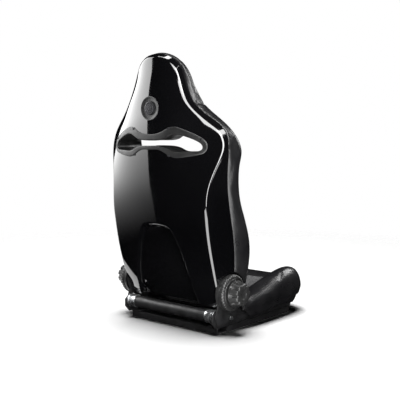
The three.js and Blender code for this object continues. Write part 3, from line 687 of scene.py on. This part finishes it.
def even_steps(guide, fine_below, fine, coarse):
    """Values of t that step evenly along a guide, in finer steps below a height."""
    t = np.linspace(0, 1, 3001)
    points = guide.at(t)
    step = np.where(points[1:, 2] < fine_below, fine, coarse)
    along = running(gaps(points) / step)
    return np.interp(np.linspace(0, along[-1], int(along[-1]) + 1), along, t)


def raised_bottom(x, z):
    """Lifts the lowest part of the back to the shell's lower edge."""
    low = np.interp(np.abs(x), [p[0] for p in BOTTOM_EDGE], [p[1] for p in BOTTOM_EDGE])
    raised = low + (z - SHELL_BOTTOM) * (LIFTED_BELOW - low) / (LIFTED_BELOW - SHELL_BOTTOM)
    return np.where(z < LIFTED_BELOW, raised, z)


def back_columns(z, reach):
    """Places across half the back, close together where the edge of the recess comes down."""
    edge = np.interp(z, [p[1] for p in RECESS[:1:-1]], [p[0] for p in RECESS[:1:-1]])
    edge = np.minimum(edge, 0.6 * reach)
    wall = 12 * min(1, reach / 100)
    inner = np.linspace(0, edge - wall, 14)
    middle = np.linspace(edge - wall, edge + 0.3 * wall, 14)[1:]
    outer = np.linspace(edge + 0.3 * wall, reach, 22)[1:]
    return np.concatenate([inner, middle, outer])


def shell_surface():
    """The outside of the shell, as half sections from the middle out to the edge."""
    t = even_steps(crease, RECESS_TOP, 2.6, 4.6)
    corner, rim = crease.at(t), shell_edge.at(t)
    along = np.gradient(corner, axis=0)
    along[-1] = (-1, 0, 0)
    along /= np.hypot(along[:, 0], along[:, 2])[:, None]
    turn_size = CREASE_ROUND[0] + (CREASE_ROUND[1] - CREASE_ROUND[0]) * smooth_step(600, 700, corner[:, 2])
    inset_x = np.maximum(corner[:, 0] - turn_size * along[:, 2], 0)
    inset_x[-1] = 0
    inset_z = corner[:, 2] + turn_size * along[:, 0]
    sections = []
    for i in range(len(t)):
        x = back_columns(inset_z[i], inset_x[i])
        z = raised_bottom(x, np.full_like(x, inset_z[i]))
        y = back_y(x, z) - recess_depth(x, z)
        across = np.stack([x, y, z], axis=1)
        outward = rim[i] - corner[i]
        turn_end = corner[i] + outward * (turn_size[i] / np.linalg.norm(outward))
        u = rising(8)
        turn = (1 - u) ** 2 * across[-1] + 2 * u * (1 - u) * corner[i] + u ** 2 * turn_end
        v = rising(8)
        face = turn_end + (rim[i] - turn_end) * v
        sections.append(np.concatenate([across, turn, face]))
    return both_halves(np.array(sections))


def cover_room(side, extra, sides):
    """The room kept for a recliner cover at the side of the back."""
    room = COVER["radius"] + COVER["clearance"] + extra
    inner, outer = COVER_ROOM[0] * side, COVER_ROOM[1] * side
    return turned("cover_room", [(0, inner), (room, inner), (room, outer), (0, outer)], 0, AXIS_Z, sides)


def make_shell():
    points = shell_surface()
    rows, columns = points.shape[:2]
    flat = points.reshape(-1, 3)
    faces = np.array(grid_faces(rows, columns))
    centre = flat[faces].mean(1)
    on_the_back = centre[:, 1] > 60
    in_slot = inside_distance(slot_hole, centre[:, [0, 2]]) > -5  # the trim covers the ragged edge
    in_badge = np.hypot(centre[:, 0], centre[:, 2] - BADGE_Z) < BADGE_RING - 1
    faces = faces[~(on_the_back & (in_slot | in_badge))]
    shell = tidy_mesh(new_piece("shell", flat, faces.tolist()))
    shell = modified(shell, "SOLIDIFY", thickness=SHELL_WALL * MM, offset=-1, use_even_offset=False)
    cut(shell, [cover_room(side, 0, 96) for side in (1, -1)])
    shell = modified(shell, "BEVEL", width=1.1 * MM, segments=3, limit_method="ANGLE",
                     angle_limit=math.radians(55))
    return tidy_mesh(shell, 0.01, 35)


fit_out(make_shell(), "backrest", "back_shell", GLOSS, "gloss_shell")

# ---- harness slot trim and badge


def reach_to(outline, start, direction):
    """How far it is from start along direction to an outline."""
    run = np.roll(outline, -1, axis=0) - outline
    to_start = outline - start
    cross = direction[0] * run[:, 1] - direction[1] * run[:, 0]
    cross = np.where(np.abs(cross) < 1e-9, 1e-9, cross)
    distance = (to_start[:, 0] * run[:, 1] - to_start[:, 1] * run[:, 0]) / cross
    share = (to_start[:, 0] * direction[1] - to_start[:, 1] * direction[0]) / cross
    hits = distance[(distance > 0) & (share >= 0) & (share <= 1)]
    return hits.min() if len(hits) else FLANGE_WIDTH


HOLE_RING = resampled(slot_hole, 260)
HOLE_NORMAL = outward_normals(HOLE_RING)


def flange_reach():
    reach = np.array([reach_to(slot_flange, p, n) for p, n in zip(HOLE_RING, HOLE_NORMAL)])
    reach = np.clip(reach, 11, 26)
    for _ in range(4):
        reach = (np.roll(reach, 1) + 2 * reach + np.roll(reach, -1)) / 4
    return reach


def make_trim(name, width, section, face_y, out):
    """A moulded ring round the slot, from (share of the width, height above the face) points."""
    rings = []
    for share, height in section:
        spot = HOLE_RING + HOLE_NORMAL * np.reshape(width * share, (-1, 1))
        y = face_y(spot[:, 0], spot[:, 1]) + out * height
        rings.append(np.stack([spot[:, 0], y, spot[:, 1]], axis=1))
    return ring_body(name, rings, 60)


rear_section = [
    (0.07, -9), (0.03, -6), (0, -2), (0.02, 0.6), (0.08, 2.0), (0.16, 2.6), (0.3, 2.6), (0.6, 2.5),
    (0.84, 2.4), (0.93, 2.0), (0.985, 1.2), (1.0, 0.3), (0.96, 0.1), (0.3, 0.1), (0.25, -9), (0.07, -9),
]
rear_trim = make_trim("slot_trim_rear", flange_reach(), rear_section, back_y, 1)
fit_out(rear_trim, "backrest", "slot_bezel_rear", TRIM, "matte_plastic")

pad_middle = profile(PAD_MIDDLE)
pad_peak = Guide(PAD_PEAK)
pad_rim = Guide(PAD_RIM)
peak_dense = pad_peak.at(np.linspace(0, 1, 2001))


def bolster_rise(share):
    return smooth_step(INSERT_SHARE, 1, np.abs(share))


def pad_face_y(x, z):
    """Where the padded front lies at a given x and z."""
    peak_x, peak_y = at_height(peak_dense, z)
    middle = pad_middle(z)
    return middle + (peak_y - middle) * bolster_rise(np.minimum(np.abs(x) / peak_x, 1))


front_section = [
    (0.1, -6), (0, -2), (0.05, 1), (0.2, 2.2), (0.5, 2.4), (0.8, 2.0), (0.97, 1.0), (1, 0.1), (0.5, 0.1),
    (0.35, -6), (0.1, -6),
]
front_trim = make_trim("slot_trim_front", FRONT_FLANGE, front_section, pad_face_y, -1)
fit_out(front_trim, "backrest", "slot_bezel_front", TRIM, "matte_plastic")


def make_liner():
    """The tunnel wall between the two trims, with a shallow rib half way."""
    section = [(1.2, 0.0), (1.2, 0.45), (0.6, 0.5), (1.2, 0.55), (1.2, 1.0), (3.8, 1.0), (3.8, 0.0)]
    section.append(section[0])
    rings = []
    for offset, share in section:
        spot = HOLE_RING + HOLE_NORMAL * offset
        rear = back_y(spot[:, 0], spot[:, 1]) - 5
        front = pad_face_y(spot[:, 0], spot[:, 1]) + 4
        rings.append(np.stack([spot[:, 0], rear + (front - rear) * share, spot[:, 1]], axis=1))
    return ring_body("slot_tunnel", rings, 50)


fit_out(make_liner(), "backrest", "slot_liner", TRIM, "matte_plastic")


def faced(name, outline, x, z, sides=48, lift=0.0, corner_radius=None):
    """A body turned about a line square to the back at (x, z), from its (radius, height) outline."""
    y = float(back_y(np.array(x), np.array(z))) + lift
    slope_x = float(back_y(np.array(x + 1.0), np.array(z)) - back_y(np.array(x - 1.0), np.array(z))) / 2
    slope_z = float(back_y(np.array(x), np.array(z + 1.0)) - back_y(np.array(x), np.array(z - 1.0))) / 2
    out = np.array([-slope_x, 1, -slope_z])
    out /= np.linalg.norm(out)
    right = np.cross(out, (0, 0, 1))
    right /= np.linalg.norm(right)
    up = np.cross(right, out)
    angles = full_turn(sides)
    rings = []
    for radius, height in outline:
        radii = np.full(sides, float(radius))
        if corner_radius and radius <= corner_radius:
            radii = radius / np.cos((angles % (math.pi / 3)) - math.pi / 6)  # flats of a hexagon
        ring = radii[:, None] * (np.cos(angles)[:, None] * right + np.sin(angles)[:, None] * up)
        rings.append(np.array([x, y, z]) + ring + out * height)
    return ring_body(name, rings, 35)


def make_bezel_screw(index, x, z):
    """A socket button screw: a domed head with a six-sided recess."""
    outline = [(0, 0.4), (1.9, 0.4), (2.0, 1.9), (3.0, 1.8), (3.9, 1.2), (4.3, 0.3), (4.3, -0.2), (1.9, -0.2),
               (1.9, -9), (0, -9)]
    return faced("bezel_screw_head_%d" % index, outline, x, z, 48, 2.6, corner_radius=2.1)


for number, (x, z) in enumerate(BEZEL_SCREWS, 1):
    fit_out(make_bezel_screw(number, x, z), "backrest", "bezel_screw_%d" % number, OXIDE, "zinc_steel")


def make_badge_ring():
    """A thin raised ring with a plain dished floor."""
    r = BADGE_RING
    inner = BADGE_DISC - 2
    outline = [(inner, -3.4), (r - 5, -3.4), (r - 3.4, -2.6), (r - 3, 0.2), (r - 1.4, 0.9), (r + 0.4, 0.6),
               (r + 0.9, 0.0), (r - 1, -0.2), (r - 1.2, -3.9), (inner, -3.9), (inner, -3.4)]
    return faced("badge_bowl", outline, 0, BADGE_Z, 96)


def make_badge_disc():
    """A low medallion with plain concentric steps."""
    r = BADGE_DISC
    outline = [(0, 1.3), (5, 1.2), (6, 0.2), (8, 0.0), (9, 0.8), (15, 0.6), (16, -0.4), (18.4, -0.4),
               (19.2, 0.5), (r - 1.2, 0.3), (r, -0.6), (r, -3.3), (0, -3.3)]
    return faced("badge_medallion", outline, 0, BADGE_Z, 96)


fit_out(make_badge_ring(), "backrest", "badge_ring", KNOB_PLASTIC, "satin_steel")
fit_out(make_badge_disc(), "backrest", "badge_disc", OXIDE, "gloss_shell")

# ---- pads


def quarter(a, b, corner, f):
    """Part of a quarter ellipse from a to b that bulges towards the corner."""
    turn = f * math.pi / 2
    return corner + (a - corner) * (1 - np.sin(turn)) + (b - corner) * (1 - np.cos(turn))


def closed_loft(name, front, back):
    """A closed solid between two sheets of half sections, in an even mesh ready to be cut."""
    front, back = both_halves(front), both_halves(back)[:, ::-1]
    loops = np.concatenate([front, back], axis=1)
    rows, width = loops.shape[:2]
    faces = grid_faces(rows, width, wrap=True)
    half = width // 2
    faces += [(j, width - 1 - j, width - 2 - j, j + 1) for j in range(half - 1)]
    solid = tidy_mesh(new_piece(name, loops.reshape(-1, 3), faces))
    return modified(solid, "REMESH", mode="VOXEL", voxel_size=4 * MM)


PAD_START = 2 / 26  # where the foam starts on the shell's guide curves
FOAM_INSET = 9  # how far the foam's hidden rear stays inside the crease
PAD_ROWS = 84
PAD_ACROSS = 28


def pad_sections():
    t = 1 - (1 - np.linspace(0, 1, PAD_ROWS)) ** 1.15
    share = np.linspace(0, 1, PAD_ACROSS)
    peak, rim = pad_peak.at(t), pad_rim.at(t)
    on_shell = PAD_START + (1 - PAD_START) * t
    edge = shell_edge.at(on_shell) - (0, SEAM_GAP, 0)
    corner = crease.at(on_shell)
    front, back = [], []
    for i in range(len(t)):
        middle = float(pad_middle(peak[i, 2]))
        row = np.stack([peak[i, 0] * share, middle + (peak[i, 1] - middle) * bolster_rise(share),
                        np.full_like(share, peak[i, 2])], axis=1)
        side = np.array([rim[i, 0], peak[i, 1], rim[i, 2]])
        f = rising(12)
        towards_rim = quarter(peak[i], rim[i], side, f)
        bulge = np.array([rim[i, 0], edge[i, 1], (rim[i, 2] + edge[i, 2]) / 2])
        g = rising(4)
        towards_edge = rim[i] + (edge[i] - rim[i]) * g
        towards_edge += (bulge - towards_edge) * 0.5 * g * (1 - g)
        front.append(np.concatenate([row, towards_rim, towards_edge]))
        inset = 1 - FOAM_INSET / max(corner[i, 0], 2 * FOAM_INSET)
        x = corner[i, 0] * share
        wall = back_y(x, np.full_like(x, corner[i, 2])) - SHELL_WALL - CAVITY
        rear = np.stack([x * inset, wall, np.full_like(x, corner[i, 2] - 4)], axis=1)
        drop = 6 * float(smooth_step(0.8, 1, t[i]))
        inner_edge = edge[i] * (1 - 6 / max(edge[i, 0], 12), 1, 1) - (0, 0, drop)
        h = rising(4)
        back.append(np.concatenate([rear, rear[-1] + (inner_edge - rear[-1]) * h]))
    return np.array(front), np.array(back)


def outline_prism(name, outline, y0, y1):
    """An outline in the X-Z plane, carried from y0 to y1."""
    count = len(outline)
    rings = [np.stack([outline[:, 0], np.full(count, y), outline[:, 1]], axis=1) for y in (y0, y1)]
    faces = grid_faces(2, count, wrap=True) + [tuple(range(count)), tuple(reversed(range(count, 2 * count)))]
    return tidy_mesh(new_piece(name, np.concatenate(rings), faces))


CUSHION_ROOM = [(-20, 0), (-20, 117), (-200, 187), (-200, 0)]  # (y, z) of the room under a bolster


def cushion_room(side):
    """The wedge of room kept for the cushion under a bolster."""
    ends = (INSERT_EDGE * side, 400 * side)
    points = [(x, y, z) for x in ends for y, z in CUSHION_ROOM]
    faces = [(0, 1, 2, 3), (7, 6, 5, 4)] + [(i, i + 4, (i + 1) % 4 + 4, (i + 1) % 4) for i in range(4)]
    return tidy_mesh(new_piece("cushion_room", points, faces))


def whole_back_pad():
    pad = closed_loft("whole_pad", *pad_sections())
    hole = resampled(slot_hole, 120)
    rod_room = ROD_RADIUS + 3
    cutters = [
        outline_prism("slot_room", hole + outward_normals(hole) * SLOT_ROOM, -300, 300),
        turned("rod_room", [(0, -300), (rod_room, -300), (rod_room, 300), (0, 300)], 0, AXIS_Z, 24),
    ]
    for side in (1, -1):
        cutters += [cushion_room(side), cover_room(side, 1, 64)]
    return cut(pad, cutters)


def part_of(whole, name, x0, x1, y0, y1, z0, z1):
    """The part of a pad inside a box, a little past its seams."""
    lap = SEAM_LAP
    box = block("box", x0 - lap, x1 + lap, y0 - lap, y1 + lap, z0 - lap, z1 + lap)
    return cut(placed(name, whole.data.copy()), [box], "INTERSECT")


def vertex_places(mesh):
    places = np.zeros(len(mesh.vertices) * 3, np.float32)
    mesh.vertices.foreach_get("co", places)
    return places.reshape(-1, 3)


def blow_up(piece, fixed):
    """Blows a cover up as cloth, with the fixed points held."""
    group = piece.vertex_groups.new(name="glued")
    group.add(np.nonzero(fixed)[0].tolist(), 1.0, "REPLACE")
    cloth = piece.modifiers.new("cloth", "CLOTH")
    cloth.settings.use_pressure = True
    cloth.settings.uniform_pressure_force = 4
    cloth.settings.effector_weights.gravity = 0
    cloth.settings.vertex_group_mass = group.name
    cloth.settings.quality = 4
    scene = bpy.context.scene
    for step in range(1, STUFFING_STEPS + 1):
        scene.frame_set(step)
    apply_modifiers(piece)
    scene.frame_set(1)
    piece.vertex_groups.clear()


def stuffed(piece, voxel, cap, held):
    """Fills a cover with foam: the mesh is rebuilt evenly, blown up as cloth and held to a set swell.

    held says which of some points in millimetres are glued down or stand against something.
    """
    modified(piece, "REMESH", mode="VOXEL", voxel_size=voxel * MM)
    modified(piece, "SMOOTH", factor=0.5, iterations=3)
    normals = np.array([v.normal for v in piece.data.vertices])
    start = vertex_places(piece.data) - normals * STUFFING_ROOM * MM
    piece.data.vertices.foreach_set("co", start.ravel())
    blow_up(piece, held(start / MM - (0, AXIS_Y, 0)))
    move = vertex_places(piece.data) - start
    far = np.linalg.norm(move, axis=1)
    capped = cap * MM * np.tanh(far / (cap * MM))
    move *= (capped / np.maximum(far, 1e-9))[:, None]
    piece.data.vertices.foreach_set("co", (start + move).ravel())
    modified(piece, "SUBSURF", levels=1)
    piece.data.shade_smooth()


def inside_shell(points):
    """Points of the back's foam that are glued into the shell, or that stand round the harness slot."""
    edge_y = at_height(shell_edge.at(np.linspace(0, 1, 800)), points[:, 2])[1]
    by_slot = inside_distance(slot_hole, points[:, [0, 2]]) > -GLUED_BY_SLOT
    return (points[:, 1] > edge_y - 4) | by_slot


def fit_pads(body, rows):
    for pad, node, material, slot_name in rows:
        fit_out(pad, body, node, material, slot_name)


whole_back = whole_back_pad()
back_centre = part_of(whole_back, "back_insert", -INSERT_EDGE, INSERT_EDGE, -300, 300, 0, NECK_SEAM)
back_bolster = part_of(whole_back, "back_bolster_cover_left", INSERT_EDGE, 400, -300, 300, 0, HEAD_SEAM)
headrest = part_of(whole_back, "headrest_cover", -400, 400, -300, 300, HEAD_SEAM, 1100)
neck = part_of(whole_back, "neck", -INSERT_EDGE, INSERT_EDGE, -300, 300, NECK_SEAM, HEAD_SEAM + 10)
cut(headrest, [neck], "UNION")
discard(whole_back)

stuffed(back_centre, 6, 5, inside_shell)
stuffed(back_bolster, 6, 4, inside_shell)
stuffed(headrest, 6, 4, inside_shell)
back_bolster_right = mirrored_piece(back_bolster)

fit_pads("backrest", [
    (back_centre, "back_pad_centre", INSERT, "insert_leather"),
    (back_bolster, "back_bolster_left", LEATHER, "leather"),
    (back_bolster_right, "back_bolster_right", LEATHER, "leather"),
    (headrest, "headrest_pad", LEATHER, "leather"),
])

# ---- cushion

seat_side = Guide(SEAT_SIDE)
seat_peak = Guide(SEAT_PEAK)
seat_hem = Guide(SEAT_HEM)
seat_middle = profile(SEAT_MIDDLE)
SEAT_ROWS = 60
PAN_TOP = 64
PAN_FRONT = -440
HEM_THICKNESS = 7


def seat_sections():
    t = np.linspace(0, 1, SEAT_ROWS)
    share = np.linspace(0, 1, PAD_ACROSS)
    peak, side, hem = seat_peak.at(t), seat_side.at(t), seat_hem.at(t)
    top, under = [], []
    for i in range(len(t)):
        middle = float(seat_middle(-peak[i, 1]))
        row = np.stack([peak[i, 0] * share, np.full_like(share, peak[i, 1]),
                        middle + (peak[i, 2] - middle) * bolster_rise(share)], axis=1)
        corner = np.array([side[i, 0], side[i, 1], peak[i, 2]])
        f = rising(12)
        g = rising(6)
        shoulder = quarter(peak[i], side[i], corner, f)
        top.append(np.concatenate([row, shoulder, side[i] + (hem[i] - side[i]) * g]))
        y = hem[0, 1] + (hem[i, 1] - hem[0, 1]) * 0.9
        flat = np.full_like(share, PAN_TOP + 1.0)
        floor = np.stack([hem[i, 0] * 0.84 * share, np.full_like(share, y), flat], axis=1)
        inward = max(0.0, 1 - HEM_THICKNESS / max(hem[i, 0], HEM_THICKNESS))
        setback = HEM_THICKNESS * float(smooth_step(0.6, 1, t[i]))
        inner = np.array([hem[i, 0] * inward, hem[i, 1] + setback, hem[i, 2]])
        h = rising(4)
        under.append(np.concatenate([floor, floor[-1] + (inner - floor[-1]) * h]))
    return np.array(top), np.array(under)


# Room that the cushion leaves free, as its low and high x, y and z. The last two are on the left side.
PAN_ROOM = (-230, 230, PAN_FRONT - 8, 0, -20, PAN_TOP + 0.4)
BAR_ROOM = (-162, 162, -468, 0, -20, 52)
FRAME_ROOM = (199.1, 216, -600, 20, -20, 88)
RECLINER_ROOM = (196, 400, -68, 20, -20, 300)


def whole_seat_cushion():
    cutters = [block("room", *PAN_ROOM), block("room", *BAR_ROOM)]
    for side in (1, -1):
        for x0, x1, *rest in (FRAME_ROOM, RECLINER_ROOM):
            cutters.append(block("room", *sorted((x0 * side, x1 * side)), *rest))
    return cut(closed_loft("whole_seat", *seat_sections()), cutters)


def on_the_pan(points):
    """Points of the cushion that rest on the pan or are clipped under it."""
    return points[:, 2] < PAN_TOP + 8


whole_seat = whole_seat_cushion()
edge = SEAT_INSERT_EDGE
seat_centre = part_of(whole_seat, "seat_insert", -edge, edge, SEAT_FRONT_SEAM, 50, -50, 400)
seat_front = part_of(whole_seat, "seat_front_roll", -edge, edge, -600, SEAT_FRONT_SEAM, -50, 400)
seat_bolster = part_of(whole_seat, "seat_bolster_cover_left", edge, 400, -600, 50, -50, 400)
discard(whole_seat)
for pad in (seat_centre, seat_front, seat_bolster):
    stuffed(pad, 5.5, 4, on_the_pan)
seat_bolster_right = mirrored_piece(seat_bolster)

fit_pads("seat_base", [
    (seat_centre, "cushion_centre", INSERT, "insert_leather"),
    (seat_front, "cushion_front", LEATHER, "leather"),
    (seat_bolster, "cushion_bolster_left", LEATHER, "leather"),
    (seat_bolster_right, "cushion_bolster_right", LEATHER, "leather"),
])

# ---- recliners


def carved(name, outline, sides, carve, sharp):
    """A body turned about the recline axis. carve turns a point's (radius, x, angles) into radii and x."""
    angles = full_turn(sides)
    rings = []
    for r, x in outline:
        radii, along = carve(r, x, angles)
        along = np.broadcast_to(along, (sides,))
        rings.append(np.stack([along, radii * np.cos(angles), AXIS_Z + radii * np.sin(angles)], axis=1))
    return ring_body(name, rings, sharp)


def make_cover():
    """A round cover with a plain ring pressed into its face and fine grip ribs round its edge."""
    inner, outer, radius = COVER["inner"], COVER["outer"], COVER["radius"]
    outline = [(10, outer - 2.4), (10, outer), (30, outer)]
    outline += [(48.4, outer), (49.2, outer - 0.9), (50.8, outer - 0.9), (51.6, outer)]
    outline += arc((radius - 9, outer - 9), 9, 90, 0, 9)
    outline += [(radius, outer - 13), (radius, inner + 12), (radius - 0.6, inner + 11)]
    outline += [(radius - 0.6, inner + 9), (radius, inner + 8), (radius, inner), (radius - 2.4, inner)]
    outline += [(radius - 2.4, outer - 10), (radius - 10, outer - 2.4), (10, outer - 2.4)]

    def grip_ribs(r, x, angles):
        depth = RIB_DEPTH * smooth_step(radius - 9, radius - 5, r) * smooth_step(outer - 13, outer - 10, x)
        return r - depth * smooth_step(0.1, 0.6, np.cos(COVER_RIBS * angles)), x

    return carved("recliner_shroud_left", outline, COVER_RIBS * 8, grip_ribs, 40)


def make_knob():
    """A hand knob with a rounded hollow for each flute, and raised ribs on its face."""
    inner, shoulder, outer = KNOB["inner"], KNOB["shoulder"], KNOB["outer"]
    radius, tip, flutes = KNOB["radius"], KNOB["tip"], KNOB["flutes"]
    outline = [(0, outer - 3), (13, outer - 3), (15, outer - 1.5), (17, outer - 0.2), (20, outer)]
    outline += [(26, outer)]
    outline += arc((tip - 6, outer - 6), 6, 80, 10, 7)
    outline += [(tip + 1, outer - 9), (tip + 3, outer - 16), (tip + 5.5, outer - 24)]
    outline += [(radius - 1, shoulder + 3)]
    outline += arc((radius - 3, shoulder - 1), 3, 45, -20, 4)
    outline += [(radius - 5, inner), (6.4, inner), (6.4, inner + 20), (0, inner + 20)]

    def flutes_and_ribs(r, x, angles):
        wave = np.cos(angles * flutes)
        depth = FLUTE_DEPTH * smooth_step(shoulder + 1, shoulder + 9, x) * smooth_step(tip - 14, tip - 2, r)
        rib = 1.1 * smooth_step(19, 21, r) * smooth_step(32, 28, r) * np.clip(-wave, 0, 1) ** 0.6
        return r - depth * np.clip(wave, 0, 1) ** 1.3, x + rib

    return carved("recliner_hand_knob_left", outline, flutes * 24, flutes_and_ribs, 45)


fit_out_pair(make_cover(), "seat_base", "recliner_cover", KNOB_PLASTIC, "matte_plastic")
fit_out_pair(make_knob(), "recliner_drive", "recliner_knob", KNOB_PLASTIC, "matte_plastic")

# ---- tubes and release bar


def cross_tube(name, size):
    """A tube along X with softened ends."""
    radius, end = size["radius"], size["end"]
    inside = radius - size["wall"]
    outline = [(inside, 0.6 - end), (inside + 0.6, -end), (radius - 0.8, -end), (radius, 0.8 - end)]
    outline += [(radius, end - 0.8), (radius - 0.8, end), (inside + 0.6, end), (inside, end - 0.6)]
    tube = turned(name, outline, size["y"], size["z"], 72, closed=True)
    fit_out(tube, "seat_base", name.replace("tube", "cross_tube"), STEEL, "satin_steel")


def make_collar():
    """A sleeve with a rolled flange where it meets the side frame."""
    t = REAR_TUBE
    x0, x1, r = COLLAR["inner"], t["end"], COLLAR["radius"]
    outline = [(t["radius"] + 0.4, x0 + 0.5), (t["radius"] + 0.9, x0), (r - 2.4, x0)]
    outline += arc((r - 2.4, x0 + 1.6), 1.6, -90, 0, 4)
    outline += [(r - 0.8, x1 - 15), (r - 1.6, x1 - 14), (r - 1.6, x1 - 9), (r, x1 - 8)]
    outline += [(r, x1 - 1), (r - 0.8, x1), (t["radius"] + 0.4, x1)]
    return turned("tube_sleeve_left", outline, t["y"], t["z"], 72, closed=True)


cross_tube("rear_tube", REAR_TUBE)
cross_tube("front_tube", FRONT_TUBE)
fit_out_pair(make_collar(), "seat_base", "rear_tube_collar", ZINC, "zinc_steel")

bar_half = BAR_PATH + [(-x, y, z) for x, y, z in reversed(BAR_PATH)]
release_bar = tube_along("release_handle", smooth_path(bar_half, 160), BAR_RADIUS, 20)
fit_out(release_bar, "release_lever", "release_bar", STEEL, "satin_steel")

# ---- plates, rails and fasteners


def softened(node, width):
    """A copy of a CAD node with its edges broken, to stand for it."""
    piece = placed(node + "_part", frame["nodes"][node].data.copy())
    work = bmesh.new()
    work.from_mesh(piece.data)
    bmesh.ops.remove_doubles(work, verts=work.verts, dist=0.02 * MM)
    bmesh.ops.dissolve_limit(work, angle_limit=math.radians(1), verts=work.verts, edges=work.edges)
    work.to_mesh(piece.data)
    work.free()
    modified(piece, "BEVEL", width=width * MM, segments=2, limit_method="ANGLE", angle_limit=math.radians(40))
    piece.data.shade_smooth()
    piece.data.set_sharp_from_angle(angle=math.radians(35))
    return piece


SOFTENED = [
    ("side_frame", "seat_base", 0.5, STEEL, "satin_steel"),
    ("recliner_bracket", "seat_base", 0.5, STEEL, "satin_steel"),
    ("upper_rail", "seat_base", 0.4, STEEL, "zinc_steel"),
    ("lower_rail", "floor_mount", 0.4, STEEL, "zinc_steel"),
    ("front_frame_bolt", "seat_base", 0.6, ZINC, "zinc_steel"),
    ("rear_frame_bolt", "seat_base", 0.6, ZINC, "zinc_steel"),
]
for stem, body, width, material, slot_name in SOFTENED:
    for node in (stem + "_left", stem + "_right"):
        fit_out(softened(node, width), body, node, material, slot_name)
for node in ("floor_brace_rear", "floor_brace_front"):
    fit_out(softened(node, 0.8), "floor_mount", node, STEEL, "satin_steel")

PLAIN_NODES = {
    "backrest_frame": STEEL, "frame_cross_tube": STEEL, "seat_pan": STEEL, "recliner_sync_rod": ZINC,
    "recliner_arm_left": STEEL, "recliner_arm_right": STEEL, "recliner_gear_left": ZINC,
    "recliner_gear_right": ZINC,
}
for node, material in PLAIN_NODES.items():
    mesh = frame["nodes"][node].data
    mesh.materials.clear()
    mesh.materials.append(material)

# ---- stage, light and camera


FLOOR_HALF = 12000
FLOOR_DROP = 0.5  # keeps the floor clear of the rails


def make_floor():
    corners = [(x * FLOOR_HALF, y * FLOOR_HALF, -FLOOR_DROP) for x, y in ((-1, -1), (1, -1), (1, 1), (-1, 1))]
    floor = new_piece("floor", corners, [(0, 1, 2, 3)])
    floor.data.materials.append(floor_surface())
    floor.visible_glossy = False
    floor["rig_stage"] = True


def fade_downwards(light):
    """Dims a softbox smoothly, from its middle to nothing at its lower edge."""
    light.use_nodes = True
    tree = light.node_tree
    place = tree.nodes.new("ShaderNodeNewGeometry").outputs["Parametric"]
    split = tree.nodes.new("ShaderNodeSeparateXYZ")
    height = tree.nodes.new("ShaderNodeMapRange")
    height.inputs["From Max"].default_value = 0.52  # full light from the middle up
    squared = tree.nodes.new("ShaderNodeMath")
    squared.operation = "POWER"
    squared.inputs[1].default_value = 2.0
    tree.links.new(place, split.inputs["Vector"])
    tree.links.new(split.outputs["Y"], height.inputs["Value"])
    tree.links.new(height.outputs["Result"], squared.inputs[0])
    tree.links.new(squared.outputs["Value"], tree.nodes["Emission"].inputs["Strength"])


def softbox(name, place, target, width, height, power, fade=False):
    light = bpy.data.lights.new(name, "AREA")
    light.shape = "RECTANGLE"
    if fade:
        fade_downwards(light)
    light.size = width
    light.size_y = height
    light.energy = power
    lamp = placed(name, light)
    lamp.location = place
    lamp.rotation_euler = (Vector(target) - Vector(place)).to_track_quat("-Z", "Y").to_euler()
    lamp.visible_camera = False
    return lamp


def keep_off_floor(*lamps):
    """Lets lamps light the seat alone, so that only the lamp above it casts its shadow on the floor."""
    lit = bpy.data.collections.new("lit by the side lamps")
    for piece in bpy.context.scene.objects:
        if piece.type == "MESH" and not piece.get("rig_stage"):
            lit.objects.link(piece)
    for lamp in lamps:
        lamp.light_linking.receiver_collection = lit


def make_world():
    world = bpy.data.worlds.new("studio")
    bpy.context.scene.world = world
    world.use_nodes = True
    background = world.node_tree.nodes["Background"]
    background.inputs["Color"].default_value = (1, 1, 1, 1)
    background.inputs["Strength"].default_value = 1.0
    world.cycles_visibility.glossy = False
    world.cycles_visibility.diffuse = False


CAMERA_PLACE = (-1754.8, 1983.1, 700)
CAMERA_TURN = 40  # degrees from straight forward towards the occupant's left
CAMERA_DIP = 5.636
LENS = 68.4


def make_camera():
    data = bpy.data.cameras.new("camera")
    data.lens = LENS
    data.sensor_width = 36
    data.clip_end = 50
    camera = placed("camera", data)
    camera.location = row_frame(CAMERA_PLACE)
    turn, dip = math.radians(CAMERA_TURN), math.radians(CAMERA_DIP)
    look = Vector((math.sin(turn) * math.cos(dip), -math.cos(turn) * math.cos(dip), -math.sin(dip)))
    camera.rotation_euler = look.to_track_quat("-Z", "Y").to_euler()
    bpy.context.scene.camera = camera


make_floor()
make_world()
top = softbox("top softbox", (0.2, 0.3, 5.0), (0.2, 0.3, 0), 2.6, 2.6, 400)
top.visible_glossy = False
keep_off_floor(
    softbox("left softbox", (1.016, 0.5985, 0.75), (0.086, 0.2325, 0.75), 1.1, 1.7, 31, fade=True),
    softbox("left low panel", (1.25, -0.25, 0.02), (1.25, -0.25, 1), 1.9, 1.1, 10),
    softbox("right strip", (-2.15, 1.49, 1.35), (-0.2, 0.27, 0.8), 0.55, 2.6, 75),
    softbox("right low panel", (-1.15, 1.3, 0.02), (-1.15, 1.3, 1), 1.7, 2.1, 80),
    softbox("high panel", (-1.7, 1.8, 2.6), (0, 0.27, 0.8), 1.9, 0.8, 60),
    softbox("side strip", (-1.7, -0.3, 2.0), (-0.15, 0.2, 0.85), 0.3, 0.8, 12),
    softbox("rim strip", (-1.1, -2.2, 1.7), (-0.15, 0.0, 0.6), 0.5, 1.4, 45),
    softbox("overhead strip", (0.0, 0.45, 3.2), (0.0, 0.25, 0.9), 2.4, 0.35, 35),
)
make_camera()
bpy.context.scene.view_settings.view_transform = "Standard"
